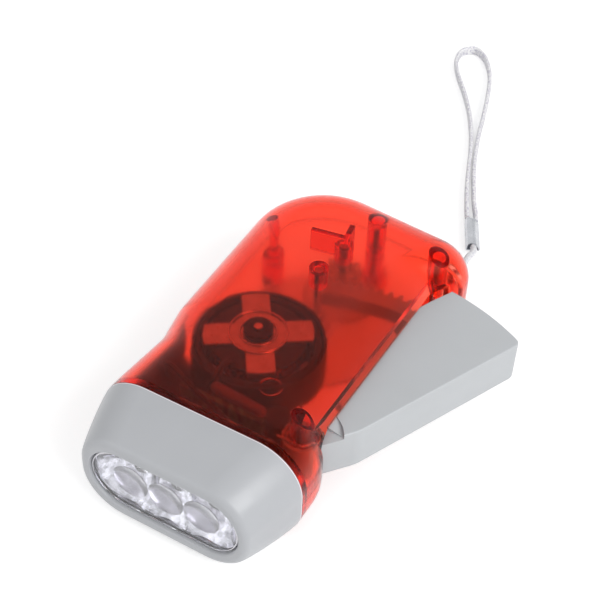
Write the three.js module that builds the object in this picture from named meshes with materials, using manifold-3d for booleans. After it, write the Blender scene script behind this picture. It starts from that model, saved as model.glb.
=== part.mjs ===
// Squeeze-lever dynamo flashlight: translucent two-shell housing, grey head and lever, gear train,
// claw-pole generator, lamp and wrist strap. Millimetres, +Z up, light beam towards -Y, lever on +X.
// The origin is at the centre of the flat underside.

import * as THREE from 'three';
import { mergeVertices } from 'three/addons/utils/BufferGeometryUtils.js';
import Module from 'manifold-3d';

const wasm = await Module();
wasm.setup();

// Housing
const bodyHeight = 27.2;
const headWidth = 49.8;
const bodyLength = 84;
const sideFlat = 4.8;
const edgeRadius = (bodyHeight - sideFlat) / 2;
const wall = 1.8;
const innerTop = bodyHeight - wall;
const partingDrop = 0.1;
const partingZ = bodyHeight / 2 - partingDrop;
const headJointY = -38;
const neckLength = 5;
const neckWall = 1.3;
const neckCollar = 2.5;
const outlineOverrun = 12;
const overrun = 3;

// Clearances
const gap = 0.3;
const seatGap = 0.3;
const runningGap = 0.3;

// Head bezel, lens and lamp
const bezelLength = 15;
const bezelWall = 1.8;
const bezelSideTaper = 4.5;
const bezelTopTaper = 2.75;
const bezelSideBend = 1.1;
const bezelTopBend = 1.5;
const bezelFrontFlat = 2;
const bezelFrontRadius = bodyHeight / 2 - bezelTopTaper - bezelFrontFlat / 2;
const bezelFrontWall = 1.7;
const bezelSideRim = 2.25;
const bezelTopRim = 2.8;
const lensWidth = headWidth - 2 * (bezelSideTaper + bezelSideRim);
const lensHeight = bodyHeight - 2 * (bezelTopTaper + bezelTopRim);
const lensRecess = 0.7;
const lensFlangeRim = 0.9;
const lensFlangeThickness = 0.8;
const reflectorDepth = 7;
const reflectorRim = 1.0;
const bowlDepth = 5.4;
const bowlMargin = 0.25;
const ledPitchShare = 0.2562;
const ledPitch = lensWidth * ledPitchShare;
const bowlRadius = lensWidth / 2 - ledPitch - bowlMargin;
const ledRadius = 2.5;
const ledDomeLength = 8.6;
const ledFlangeRadius = 2.9;
const ledFlangeThickness = 1;
const ledTipDepth = 3.2;
const ledBoardInset = 0.15;
const boardThickness = 1.2;

// Lever
const pivotX = 17;
const pivotSetback = 12.1;
const pivotY = headJointY + pivotSetback;
const leverDepthBelow = 6;
const leverDepthAbove = 5.8;
const leverBottom = partingZ - leverDepthBelow;
const leverTop = partingZ + leverDepthAbove;
const leverReach = 57.8;
const leverHubRadius = 4.1;
const leverElbowX = 10.4;
const leverElbowY = 7.3;
const leverElbowRadius = 10;
const leverOpenDegrees = 30.3;
const leverTravelDegrees = 19;
const leverInnerDegrees = 6.9;
const leverInnerLength = 45.9;
const leverInnerEndY = pivotY + leverInnerLength;
const leverRearOffset = 4.6;
const leverRearLength = 51.9;
const leverRearX = pivotX + leverRearOffset;
const leverRearY = pivotY + leverRearLength;
const leverWall = 1.6;
const leverStepRadius = 9.4;
const leverStepDepth = 1.2;
const leverInnerOffset = 3.1;
const leverInnerX = pivotX + leverInnerOffset;
const leverCornerRadius = 1.8;
const pivotPostRadius = 2.3;
const slotSetback = 10.4;
const slotFrontY = headJointY + slotSetback;

// Rack and gears
const rackModule = 0.8;
const rackCircleTeeth = 130;
const rackTeeth = 10;
const rackInset = 0.1;
const rackDrop = 0.4;
const rackDepth = 5;
const rackRootMargin = 1.2;
const rackEndDegrees = 30.5;
const rackWebDegrees = 12;
const toothAddendumShare = 0.85;
const toothDedendumShare = 1.1;
const drivePinionTeeth = 10;
const driveAngleDegrees = -19.5;
const trainModule = 0.5;
const driveGearTeeth = 36;
const transferPinionTeeth = 12;
const transferGearTeeth = 74;
const flywheelPinionTeeth = 12;
const gearBacklash = 0.16;
const transferGearBottom = 4.4;
const transferGearTop = 5.6;
const transferDegrees = -91;
const flywheelDegrees = -99.1;
const transferHubTop = 10.8;
const transferHubRadius = 1.8;
const driveGearBottom = 6.5;
const driveGearTop = 7.7;
const drivePinionRise = 2.3;
const drivePinionTop = partingZ + drivePinionRise;
const ratchetTeeth = 8;
const ratchetRadius = 3.4;
const ratchetHeight = 0.8;
const ratchetBottom = 9.4;
const axleRadius = 1;
const axleBore = 1.3;
const driveAxleHead = 1.8;
const driveAxleHeadHeight = 0.3;
const driveAxleBottom = driveGearBottom - runningGap - driveAxleHeadHeight;
const clutchSpringRoom = 3.4;
const driveBossHeight = 4.4;
const driveBossRoof = 0.8;
const driveBossBottom = drivePinionTop + clutchSpringRoom;
const driveBossTop = driveBossBottom + driveBossHeight;
const driveAxleTop = driveBossTop - driveBossRoof;
const transferAxleDrop = 1.4;
const transferBossHeight = 5.1;
const flywheelAxleDrop = 3;
const transferAxleTop = innerTop - transferAxleDrop;
const transferBossBottom = innerTop - transferBossHeight;
const flywheelAxleTop = innerTop - flywheelAxleDrop;

// Flywheel and generator
const flywheelRadius = 15.4;
const flywheelWall = 0.8;
const flywheelBottom = 8.4;
const flywheelFloor = 1;
const flywheelHubRadius = 3;
const flywheelHubTop = 10.3;
const flywheelPinionTop = 6.2;
const magnetThickness = 1.6;
const poleGap = 0.4;
const clawRadius = flywheelRadius - flywheelWall - magnetThickness - poleGap;
const clawThickness = 0.8;
const clawWidth = 6.4;
const poleArms = 4;
const poleTurnDegrees = 34.6;
const polePlateRadius = 6.2;
const upperPlateDrop = 5.8;
const upperPlateZ = innerTop - upperPlateDrop;
const lowerPlateZ = 11.2;
const flywheelTopRoom = 1;
const flywheelTop = upperPlateZ - flywheelTopRoom;
const clawStop = 3.6;
const clawLength = upperPlateZ + clawThickness - lowerPlateZ - clawStop;
const bobbinRoom = 0.6;
const bobbinRadius = clawRadius - clawThickness - bobbinRoom;
const bobbinFlange = 0.8;
const bobbinTubeRadius = 4.2;
const bobbinBoreRadius = 3.3;
const coreRadius = 2.9;
const coreCollarRadius = 3.4;
const coreCollarHeight = 1.3;
const statorRingInner = 5.3;
const statorRingOuter = 6.7;

// Shell posts and ribs
const postRadius = 2.4;
const pilotRadius = 0.9;
const bodyEndY = headJointY + bodyLength;
const rearScrewX = 1.5;
const rearScrewInset = 8.2;
const rearScrewY = bodyEndY - rearScrewInset;
const cornerScrewSideInset = 5.8;
const cornerScrewEndInset = 11.1;
const cornerScrewX = headWidth / 2 - cornerScrewSideInset;
const cornerScrewY = bodyEndY - cornerScrewEndInset;
const screwHeadRadius = 1.9;
const screwHeadHeight = 1.3;
const screwShankRadius = 0.75;
const screwRecessDepth = 5.6;
const screwBaseWall = 1.5;
const screwSlotWidth = 0.5;
const screwDrop = 3.4;
const pilotOverrun = 1;
const screwTopZ = innerTop - screwDrop;
const locatorSideInset = 4.6;
const locatorEndInset = 20.7;
const locatorX = locatorSideInset - headWidth / 2;
const locatorY = bodyEndY - locatorEndInset;
const locatorRadius = 1.3;
const locatorSocketRadius = 2.8;
const locatorLength = 3.6;
const locatorBottom = partingZ - locatorLength;
const axleBossRadius = 2.3;
const ribThickness = 1.3;
const ribLength = 9.4;
const ribReturn = 4.2;
const ribStep = 0.2;
const ribDepth = innerTop - driveBossBottom - ribStep;

// Electronics
const cellRadius = 8;
const cellThickness = 3.2;
const cellX = 4;
const cellSetback = 4.6;
const cellY = headJointY + cellSetback;
const circuitSetback = 10.4;
const circuitY = headJointY + circuitSetback;
const circuitLeft = -12.5;
const circuitWidth = 21;
const circuitHeight = 16.4;
const rectifierWidth = 6.6;
const rectifierDepth = 2;
const rectifierHeight = 4.4;
const rectifierOffset = 4;
const rectifierDrop = 1;
const wireRadius = 0.5;

// Springs
const springWireRadius = 0.3;
const returnSpringRadius = 2.9;
const returnSpringSteps = 18;
const returnSpringPitch = 1.3;
const springLegLength = 4.2;
const springPegRadius = 0.7;
const clutchSpringRadius = 1.85;
const clutchSpringTurns = 2;

// Wrist strap
const strapWidth = 2.9;
const strapThickness = 1.3;
const tetherRadius = 0.85;
const crimpWidth = 3.8;
const crimpHeight = 2.7;
const strapPostRadius = 1;
const strapPostSideInset = 3.5;
const strapPostEndInset = 6.8;
const strapPostX = headWidth / 2 - strapPostSideInset;
const strapPostY = bodyEndY - strapPostEndInset;
const strapWindowWidth = 4.6;
const strapWindowHeight = 4.4;

const weldDistance = 0.00001;
const TAU = Math.PI * 2;
const degrees = THREE.MathUtils.degToRad;

// Solids and booleans
function solidOf(geometry) {
  const bare = new THREE.BufferGeometry();
  bare.setAttribute('position', geometry.getAttribute('position'));
  if (geometry.index) bare.setIndex(geometry.index);
  const merged = mergeVertices(bare, weldDistance);
  const mesh = new wasm.Mesh({
    numProp: 3,
    vertProperties: new Float32Array(merged.getAttribute('position').array),
    triVerts: new Uint32Array(merged.index.array),
  });
  return new wasm.Manifold(mesh);
}

function geometryOf(solid) {
  const mesh = solid.getMesh();
  const geometry = new THREE.BufferGeometry();
  geometry.setAttribute('position', new THREE.BufferAttribute(new Float32Array(mesh.vertProperties), 3));
  geometry.setIndex(new THREE.BufferAttribute(new Uint32Array(mesh.triVerts), 1));
  return geometry;
}

function join(first, ...rest) {
  return rest.reduce((whole, piece) => whole.add(piece), first);
}

function cut(first, ...rest) {
  return rest.reduce((whole, piece) => whole.subtract(piece), first);
}

function block(x0, x1, y0, y1, z0, z1) {
  const geometry = new THREE.BoxGeometry(x1 - x0, y1 - y0, z1 - z0);
  geometry.translate((x0 + x1) / 2, (y0 + y1) / 2, (z0 + z1) / 2);
  return solidOf(geometry);
}

function rod(radius, x, y, z0, z1, sides = 24) {
  const geometry = new THREE.CylinderGeometry(radius, radius, z1 - z0, sides);
  geometry.rotateX(Math.PI / 2);
  geometry.translate(x, y, (z0 + z1) / 2);
  return solidOf(geometry);
}

function rodAlongY(radius, x, y0, y1, z, sides = 24) {
  const geometry = new THREE.CylinderGeometry(radius, radius, y1 - y0, sides);
  geometry.translate(x, (y0 + y1) / 2, z);
  return solidOf(geometry);
}

function prism(points, z0, z1) {
  const geometry = new THREE.ExtrudeGeometry(new THREE.Shape(points), {
    depth: z1 - z0,
    bevelEnabled: false,
  });
  geometry.translate(0, 0, z0);
  return solidOf(geometry);
}

// Closed rings of equal length, stacked and capped at both ends
function loft(rings) {
  const count = rings[0].length;
  const positions = rings.flat().flatMap((point) => [point.x, point.y, point.z]);
  const index = [];
  for (let level = 0; level + 1 < rings.length; level += 1) {
    for (let i = 0; i < count; i += 1) {
      const next = (i + 1) % count;
      const a = level * count + i;
      const b = level * count + next;
      index.push(a, b, b + count, a, b + count, a + count);
    }
  }
  return { positions, index, count };
}

function cappedLoft(rings, flatten) {
  const { positions, index, count } = loft(rings);
  const last = (rings.length - 1) * count;
  const startCap = THREE.ShapeUtils.triangulateShape(rings[0].map(flatten), []);
  const endCap = THREE.ShapeUtils.triangulateShape(rings[rings.length - 1].map(flatten), []);
  startCap.forEach(([a, b, c]) => index.push(a, c, b));
  endCap.forEach(([a, b, c]) => index.push(last + a, last + b, last + c));
  const geometry = new THREE.BufferGeometry();
  geometry.setAttribute('position', new THREE.Float32BufferAttribute(positions, 3));
  geometry.setIndex(index);
  return solidOf(geometry);
}

// Outlines made of corners rounded by arcs
function turnAt(corners, i) {
  const before = corners[(i + corners.length - 1) % corners.length];
  const after = corners[(i + 1) % corners.length];
  const here = corners[i];
  const inAngle = Math.atan2(here.y - before.y, here.x - before.x);
  const outAngle = Math.atan2(after.y - here.y, after.x - here.x);
  const turn = Math.atan2(Math.sin(outAngle - inAngle), Math.cos(outAngle - inAngle));
  return { inAngle, turn };
}

function arcSteps(corners, stepDegrees) {
  return corners.map((corner, i) => {
    if (corner.radius === 0) return 0;
    return Math.max(1, Math.round(Math.abs(turnAt(corners, i).turn) / degrees(stepDegrees)));
  });
}

function roundedOutline(corners, steps) {
  const points = [];
  corners.forEach((corner, i) => {
    const { inAngle, turn } = turnAt(corners, i);
    if (steps[i] === 0) {
      points.push(new THREE.Vector2(corner.x, corner.y));
      return;
    }
    const tangent = corner.radius * Math.tan(Math.abs(turn) / 2);
    const side = Math.sign(turn);
    const startX = corner.x - Math.cos(inAngle) * tangent;
    const startY = corner.y - Math.sin(inAngle) * tangent;
    const centreX = startX - Math.sin(inAngle) * corner.radius * side;
    const centreY = startY + Math.cos(inAngle) * corner.radius * side;
    for (let step = 0; step <= steps[i]; step += 1) {
      const angle = inAngle + turn * (step / steps[i]) - (Math.PI / 2) * side;
      const x = centreX + Math.cos(angle) * corner.radius;
      const y = centreY + Math.sin(angle) * corner.radius;
      points.push(new THREE.Vector2(x, y));
    }
  });
  return points;
}

function offsetCorners(corners, distance) {
  return corners.map((corner, i) => {
    const { inAngle, turn } = turnAt(corners, i);
    const reach = distance / Math.cos(turn / 2);
    const inward = inAngle + turn / 2 + Math.PI / 2;
    const radius = corner.radius === 0 ? 0 : corner.radius - distance * Math.sign(turn);
    return {
      x: corner.x + Math.cos(inward) * reach,
      y: corner.y + Math.sin(inward) * reach,
      radius: Math.max(radius, 0),
    };
  });
}

function arcPoints(x, y, radius, fromDegrees, toDegrees, steps) {
  return Array.from({ length: steps + 1 }, (_, step) => {
    const angle = degrees(fromDegrees + (toDegrees - fromDegrees) * (step / steps));
    return new THREE.Vector2(x + Math.sin(angle) * radius, y + Math.cos(angle) * radius);
  });
}

// Housing outline. Corner places are shares of the half width, the body length and the edge radius,
// counted from the head joint; the flat shares move each corner in to the flat of the top and bottom.
const housingShares = [
  { place: [1, 0], corner: 0, flat: [-1, 0], flatCorner: 0, front: true },
  { place: [1, 0.092], corner: 1.07, flat: [-1, -0.19], flatCorner: 0.07 },
  { place: [0.892, 0.17], corner: 1.25, flat: [-1, -0.19], flatCorner: 2.25 },
  { place: [0.892, 0.786], corner: 0.62, flat: [-1, -0.13], flatCorner: 0.27 },
  { place: [1.066, 0.866], corner: 0.22, flat: [-1.15, -0.38], flatCorner: 0.18 },
  { place: [1.066, 0.977], corner: 0.71, flat: [-1.01, -0.9], flatCorner: 0.11 },
  { place: [-1.106, 1.031], corner: 1.82, flat: [1.045, -1.107], flatCorner: 0.82 },
  { place: [-1.024, 0.339], corner: 1.34, flat: [1, 0.04], flatCorner: 0.36 },
  { place: [-0.944, 0.22], corner: 1.07, flat: [1, 0.04], flatCorner: 2.07 },
  { place: [-1, 0.03], corner: 2.68, flat: [1, 0], flatCorner: 1.68 },
  { place: [-1, 0], corner: 0, flat: [1, 0], flatCorner: 0, front: true },
];

function housingCorners() {
  return housingShares.map(({ place, corner, front }) => ({
    x: place[0] * headWidth / 2,
    y: headJointY + place[1] * bodyLength - (front ? outlineOverrun : 0),
    radius: corner * edgeRadius,
  }));
}

function flatCorners() {
  const corners = housingCorners();
  return housingShares.map(({ flat, flatCorner }, i) => ({
    x: corners[i].x + flat[0] * edgeRadius,
    y: corners[i].y + flat[1] * edgeRadius,
    radius: flatCorner * edgeRadius,
  }));
}

// The housing's outer form, or the same form drawn in by an inset
function housingForm(inset) {
  const corners = housingCorners();
  const steps = arcSteps(corners, 13);
  const widest = roundedOutline(offsetCorners(corners, inset), steps);
  const flat = roundedOutline(flatCorners(), steps);
  const radius = edgeRadius - inset;
  const levels = [];
  const roundSteps = 5;
  for (let step = roundSteps; step >= 0; step -= 1) {
    const angle = (Math.PI / 2) * (step / roundSteps);
    levels.push({ z: edgeRadius - radius * Math.sin(angle), share: 1 - Math.cos(angle) });
  }
  for (let step = 0; step <= roundSteps; step += 1) {
    const angle = (Math.PI / 2) * (step / roundSteps);
    levels.push({ z: bodyHeight - edgeRadius + radius * Math.sin(angle), share: 1 - Math.cos(angle) });
  }
  const rings = levels.map(({ z, share }) => widest.map((point, i) => {
    const placed = point.clone().lerp(flat[i], share);
    return new THREE.Vector3(placed.x, placed.y, z);
  }));
  return cappedLoft(rings, (point) => new THREE.Vector2(point.x, point.y));
}

const farX = headWidth;
const farY = bodyLength + bezelLength;

function slab(y0, y1, z0 = -overrun, z1 = bodyHeight + overrun) {
  return block(-farX, farX, y0, y1, z0, z1);
}

// The lever's slot in both shells, its rear end an arc about the pivot
function leverSlot() {
  const slotReach = leverReach + 2 * runningGap;
  const points = [
    new THREE.Vector2(pivotX, slotFrontY),
    new THREE.Vector2(farX, slotFrontY),
    ...arcPoints(pivotX, pivotY, slotReach, 40, 0, 14),
  ];
  return prism(points, leverBottom - gap, leverTop + gap);
}

function strapWindow() {
  const x0 = strapPostX - strapWindowWidth / 2;
  const y0 = strapPostY + strapPostRadius;
  const z0 = partingZ - strapWindowHeight / 2;
  return block(x0, x0 + strapWindowWidth, y0, y0 + 3 * edgeRadius, z0, z0 + strapWindowHeight);
}

function hollowHousing() {
  const outer = housingForm(0).intersect(slab(headJointY, farY));
  const neckInset = bezelWall + seatGap;
  const neckFront = headJointY - neckLength;
  const neck = bezelForm(neckInset, neckFront, headJointY + neckCollar);
  const hollow = housingForm(wall).intersect(slab(headJointY + neckCollar, farY));
  const neckBore = bezelForm(neckInset + neckWall, neckFront - gap, headJointY + neckCollar + gap);
  return cut(join(outer, neck), hollow, neckBore, leverSlot(), strapWindow());
}

// Gear centres worked out from the tooth counts, from the lever's rack down to the flywheel
const drivePinionPitch = drivePinionTeeth * rackModule / 2;
const rackPitch = rackCircleTeeth * rackModule / 2;
const rackInnerRadius = rackPitch - rackDepth;
const rackBandRadius = rackPitch - rackRootMargin;
const driveReach = rackPitch + drivePinionPitch;
const pinionFaceZ = ratchetBottom + 2 * ratchetHeight + runningGap;
const rackBottom = pinionFaceZ + rackInset;
const rackTop = drivePinionTop - rackDrop;
const driveX = pivotX + driveReach * Math.sin(degrees(driveAngleDegrees));
const driveY = pivotY + driveReach * Math.cos(degrees(driveAngleDegrees));
const transferReach = (driveGearTeeth + transferPinionTeeth) * trainModule / 2;
const transferX = driveX + transferReach * Math.cos(degrees(transferDegrees));
const transferY = driveY + transferReach * Math.sin(degrees(transferDegrees));
const flywheelReach = (transferGearTeeth + flywheelPinionTeeth) * trainModule / 2;
const flywheelX = transferX + flywheelReach * Math.cos(degrees(flywheelDegrees));
const flywheelY = transferY + flywheelReach * Math.sin(degrees(flywheelDegrees));

// One involute tooth flank, as half angles at rising radii
function toothFlank(teeth, module, flankPoints) {
  const pitch = teeth * module / 2;
  const pressure = degrees(20);
  const base = pitch * Math.cos(pressure);
  const root = pitch - module * toothDedendumShare;
  const tip = pitch + module * toothAddendumShare;
  const involute = (angle) => Math.tan(angle) - angle;
  const halfAngle = (radius) => {
    const at = Math.acos(Math.min(1, base / Math.max(radius, base)));
    const thickness = Math.PI / (2 * teeth) - gearBacklash / (4 * pitch);
    return thickness + involute(pressure) - involute(at);
  };
  const undercut = base - root > module / 10;
  const start = undercut ? base : root;
  const flank = undercut ? [{ radius: root, half: halfAngle(start) }] : [];
  for (let i = 0; i < flankPoints; i += 1) {
    const radius = start + (tip - start) * (i / (flankPoints - 1));
    flank.push({ radius, half: halfAngle(radius) });
  }
  return flank;
}

function toothPoints(x, y, centreAngle, flank) {
  const rising = flank.map(({ radius, half }) => ({ radius, angle: centreAngle - half }));
  const falling = flank.map(({ radius, half }) => ({ radius, angle: centreAngle + half })).reverse();
  return [...rising, ...falling].map(({ radius, angle }) => new THREE.Vector2(
    x + Math.cos(angle) * radius,
    y + Math.sin(angle) * radius,
  ));
}

// A whole gear; one tooth, or one gap, faces the given direction
function gearOutline(x, y, teeth, module, facing, flankPoints) {
  const flank = toothFlank(teeth, module, flankPoints);
  return Array.from({ length: teeth }, (_, i) => facing + (i / teeth) * TAU)
    .flatMap((angle) => toothPoints(x, y, angle, flank));
}

function angleBetween(fromX, fromY, toX, toY) {
  return Math.atan2(toY - fromY, toX - fromX);
}

function toothFacing(x, y, otherX, otherY) {
  return angleBetween(x, y, otherX, otherY);
}

function gapFacing(x, y, otherX, otherY, teeth) {
  return angleBetween(x, y, otherX, otherY) + Math.PI / teeth;
}

// The return spring's coil sits in the lever's hub; its upper leg lies just above the lowered hub face
const returnSpringTop = leverTop - leverStepDepth + gap + springWireRadius;
const returnSpringBottom = returnSpringTop - returnSpringPitch * returnSpringSteps / 8;

// Lever: hollow wing, thin hub ring and the rack sector that reaches into the housing
function leverCorners() {
  const rear = arcPoints(pivotX, pivotY, leverReach, leverOpenDegrees, leverInnerDegrees, 8);
  const plain = (point) => ({ x: point.x, y: point.y, radius: 0 });
  return [
    { x: pivotX + leverHubRadius * 0.5, y: pivotY - leverHubRadius * 0.8, radius: 0 },
    { x: pivotX + leverElbowX, y: pivotY + leverElbowY, radius: leverElbowRadius },
    { ...plain(rear[0]), radius: leverCornerRadius },
    ...rear.slice(1).map(plain),
    { x: leverRearX, y: leverRearY, radius: 0 },
    { x: leverInnerX, y: leverInnerEndY, radius: 0 },
    { x: leverInnerX, y: pivotY + leverHubRadius, radius: 0 },
    { x: pivotX, y: pivotY + leverHubRadius * 0.8, radius: 0 },
  ];
}

function rackSector() {
  const flank = toothFlank(rackCircleTeeth, rackModule, 3);
  const toothPitch = 360 / rackCircleTeeth;
  const facing = toothFacing(pivotX, pivotY, driveX, driveY);
  const teeth = Array.from({ length: rackTeeth }, (_, i) => facing - degrees((i - 1) * toothPitch))
    .reverse()
    .flatMap((angle) => toothPoints(pivotX, pivotY, angle, flank));
  const startDegrees = driveAngleDegrees - 1.5 * toothPitch;
  const lastTooth = driveAngleDegrees + (rackTeeth - 1.5) * toothPitch;
  const outer = arcPoints(pivotX, pivotY, rackBandRadius, rackEndDegrees, lastTooth, 6);
  const inner = arcPoints(pivotX, pivotY, rackInnerRadius, startDegrees, rackEndDegrees, 14);
  const web = [
    ...arcPoints(pivotX, pivotY, rackBandRadius, rackEndDegrees, rackWebDegrees, 5),
    ...arcPoints(pivotX, pivotY, rackInnerRadius, rackWebDegrees, rackEndDegrees, 5),
  ];
  return join(
    prism([...outer, ...teeth, ...inner], rackBottom, rackTop),
    prism(web, leverBottom + gap, leverTop - gap),
  );
}

function makeLever() {
  const corners = leverCorners();
  const steps = arcSteps(corners, 15);
  const wing = prism(roundedOutline(corners, steps), leverBottom, leverTop);
  const hub = rod(leverHubRadius, pivotX, pivotY, leverBottom, leverTop, 28);
  const inner = roundedOutline(offsetCorners(corners, leverWall), steps);
  const hollow = prism(inner, leverBottom + leverWall, leverTop - leverWall);
  const mouth = block(
    leverInnerX - leverWall,
    leverInnerX + 2 * leverWall,
    pivotY + leverStepRadius,
    leverInnerEndY,
    leverBottom + leverWall,
    leverTop - leverWall,
  );
  const hubSolid = rod(leverStepRadius + leverWall, pivotX, pivotY, leverBottom, leverTop, 36);
  const hubSteps = [
    rod(leverStepRadius, pivotX, pivotY, leverTop - leverStepDepth, leverTop + overrun, 36),
    rod(leverStepRadius, pivotX, pivotY, leverBottom - overrun, leverBottom + leverStepDepth, 36),
  ];
  const springSeatZ = returnSpringBottom - springWireRadius - gap;
  const springSeat = rod(
    returnSpringRadius + springWireRadius + gap,
    pivotX, pivotY,
    springSeatZ, leverTop + overrun,
    28,
  );
  const legX = pivotX + returnSpringRadius;
  const legRoom = springWireRadius + gap;
  const legSlot = block(
    legX - legRoom, legX + legRoom,
    pivotY, pivotY + springLegLength + gap,
    springSeatZ, leverTop + overrun,
  );
  const bore = rod(
    pivotPostRadius + runningGap,
    pivotX, pivotY,
    leverBottom - overrun, leverTop + overrun,
    28,
  );
  const shell = cut(join(wing, hub), cut(join(hollow, mouth), hubSolid), ...hubSteps);
  const closedDegrees = driveAngleDegrees + leverTravelDegrees;
  const [gearAt] = arcPoints(pivotX, pivotY, driveReach, closedDegrees, closedDegrees, 1);
  const gearRoom = rod(
    driveGearTeeth * trainModule / 2 + trainModule / 2 + gap,
    gearAt.x, gearAt.y,
    leverBottom - overrun, driveGearTop + gap,
    36,
  );
  return cut(join(shell, rackSector()), bore, springSeat, legSlot, gearRoom);
}

// Saw-toothed ratchet face, its teeth standing up or hanging down from a flat
function ratchetFace(x, y, flatZ, rise) {
  const teeth = Array.from({ length: ratchetTeeth }, (_, i) => {
    const a0 = (i / ratchetTeeth) * TAU;
    const a1 = ((i + 0.9) / ratchetTeeth) * TAU;
    const inner = axleBore + gap;
    const base = flatZ - Math.sign(rise) * gap;
    const at = (radius, angle, z) => [x + radius * Math.cos(angle), y + radius * Math.sin(angle), z];
    const vertices = [
      at(inner, a0, base), at(ratchetRadius, a0, base),
      at(ratchetRadius, a1, base), at(inner, a1, base),
      at(inner, a1, flatZ + rise), at(ratchetRadius, a1, flatZ + rise),
    ];
    const up = [0, 2, 1, 0, 3, 2, 0, 1, 5, 0, 5, 4, 1, 2, 5, 0, 4, 3, 3, 4, 5, 3, 5, 2];
    const faces = rise > 0 ? up : [...up].reverse();
    const geometry = new THREE.BufferGeometry();
    geometry.setAttribute('position', new THREE.Float32BufferAttribute(vertices.flat(), 3));
    geometry.setIndex(faces);
    return solidOf(geometry);
  });
  return join(...teeth);
}

function makeDriveGear() {
  const facing = toothFacing(driveX, driveY, transferX, transferY);
  const outline = gearOutline(driveX, driveY, driveGearTeeth, trainModule, facing, 2);
  const wheel = prism(outline, driveGearBottom, driveGearTop);
  const hub = rod(ratchetRadius, driveX, driveY, driveGearTop - gap, ratchetBottom);
  const face = ratchetFace(driveX, driveY, ratchetBottom, ratchetHeight);
  const bore = rod(axleBore, driveX, driveY, driveGearBottom - overrun, drivePinionTop, 16);
  return cut(join(wheel, hub, face), bore);
}

function makeDrivePinion() {
  const facing = gapFacing(driveX, driveY, pivotX, pivotY, drivePinionTeeth);
  const outline = gearOutline(driveX, driveY, drivePinionTeeth, rackModule, facing, 4);
  const wheel = prism(outline, pinionFaceZ, drivePinionTop);
  const face = ratchetFace(driveX, driveY, pinionFaceZ, -ratchetHeight);
  const bore = rod(axleBore, driveX, driveY, ratchetBottom, drivePinionTop + overrun, 16);
  return cut(join(wheel, face), bore);
}

function makeTransferGear() {
  const wheelFacing = toothFacing(transferX, transferY, flywheelX, flywheelY);
  const pinionFacing = gapFacing(transferX, transferY, driveX, driveY, transferPinionTeeth);
  const wheel = gearOutline(transferX, transferY, transferGearTeeth, trainModule, wheelFacing, 2);
  const pinion = gearOutline(transferX, transferY, transferPinionTeeth, trainModule, pinionFacing, 3);
  const hub = rod(transferHubRadius, transferX, transferY, driveGearTop, transferHubTop);
  const boreBottom = transferGearBottom - overrun;
  const bore = rod(axleBore, transferX, transferY, boreBottom, transferHubTop + overrun, 16);
  const web = prism(wheel, transferGearBottom, transferGearTop);
  return cut(join(web, prism(pinion, transferGearTop - gap, driveGearTop + gap), hub), bore);
}

function makeFlywheelPinion() {
  const facing = gapFacing(flywheelX, flywheelY, transferX, transferY, flywheelPinionTeeth);
  const outline = gearOutline(flywheelX, flywheelY, flywheelPinionTeeth, trainModule, facing, 3);
  const collarRadius = axleBore + springWireRadius * 2;
  const collar = rod(collarRadius, flywheelX, flywheelY, flywheelPinionTop - gap, flywheelBottom - gap, 16);
  const bore = rod(axleBore, flywheelX, flywheelY, transferGearBottom - overrun, flywheelBottom, 16);
  return cut(join(prism(outline, transferGearBottom, flywheelPinionTop), collar), bore);
}

// Turned pieces about an upright axis
function turned(profile, x, y, segments) {
  const points = [...profile, profile[0]].map(([radius, z]) => new THREE.Vector2(radius, z));
  const geometry = new THREE.LatheGeometry(points, segments);
  geometry.rotateX(Math.PI / 2);
  geometry.translate(x, y, 0);
  return solidOf(geometry);
}

function makeFlywheel() {
  const inner = flywheelRadius - flywheelWall;
  return turned([
    [axleBore, flywheelBottom], [flywheelRadius, flywheelBottom], [flywheelRadius, flywheelTop],
    [inner, flywheelTop], [inner, flywheelBottom + flywheelFloor],
    [flywheelHubRadius, flywheelBottom + flywheelFloor], [flywheelHubRadius, flywheelHubTop],
    [axleBore, flywheelHubTop],
  ], flywheelX, flywheelY, 40);
}

function ring(inner, outer, z0, z1, x, y, segments) {
  return turned([[inner, z0], [outer, z0], [outer, z1], [inner, z1]], x, y, segments);
}

function makeMagnet() {
  const outer = flywheelRadius - flywheelWall - gap;
  const floor = flywheelBottom + flywheelFloor + gap;
  return ring(outer - magnetThickness + gap, outer, floor, flywheelTop - gap, flywheelX, flywheelY, 40);
}

// A star-shaped pole plate whose claws bend down or up into the ring magnet
function makePolePlate(z, clawDirection, turnDegrees) {
  const top = clawDirection < 0 ? z + clawThickness : z + clawLength;
  const bottom = clawDirection < 0 ? z - clawLength + clawThickness : z;
  const disc = rod(polePlateRadius, flywheelX, flywheelY, z, z + clawThickness, 28);
  const arms = Array.from({ length: poleArms }, (_, i) => {
    const angle = degrees(turnDegrees) + (i / poleArms) * TAU;
    const arm = new THREE.BoxGeometry(clawRadius, clawWidth, clawThickness);
    arm.translate(clawRadius / 2, 0, z + clawThickness / 2);
    const claw = new THREE.BoxGeometry(clawThickness * 2, clawWidth, top - bottom);
    claw.translate(clawRadius, 0, (top + bottom) / 2);
    return [arm, claw].map((geometry) => {
      geometry.rotateZ(angle);
      geometry.translate(flywheelX, flywheelY, 0);
      return solidOf(geometry);
    });
  }).flat();
  const rim = rod(clawRadius, flywheelX, flywheelY, bottom - overrun, top + overrun, 48);
  const bore = rod(bobbinBoreRadius, flywheelX, flywheelY, bottom - overrun, top + overrun, 20);
  return cut(join(disc, ...arms).intersect(rim), bore);
}

const bobbinBottom = lowerPlateZ + clawThickness + seatGap;
const bobbinTop = upperPlateZ - seatGap;

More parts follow.
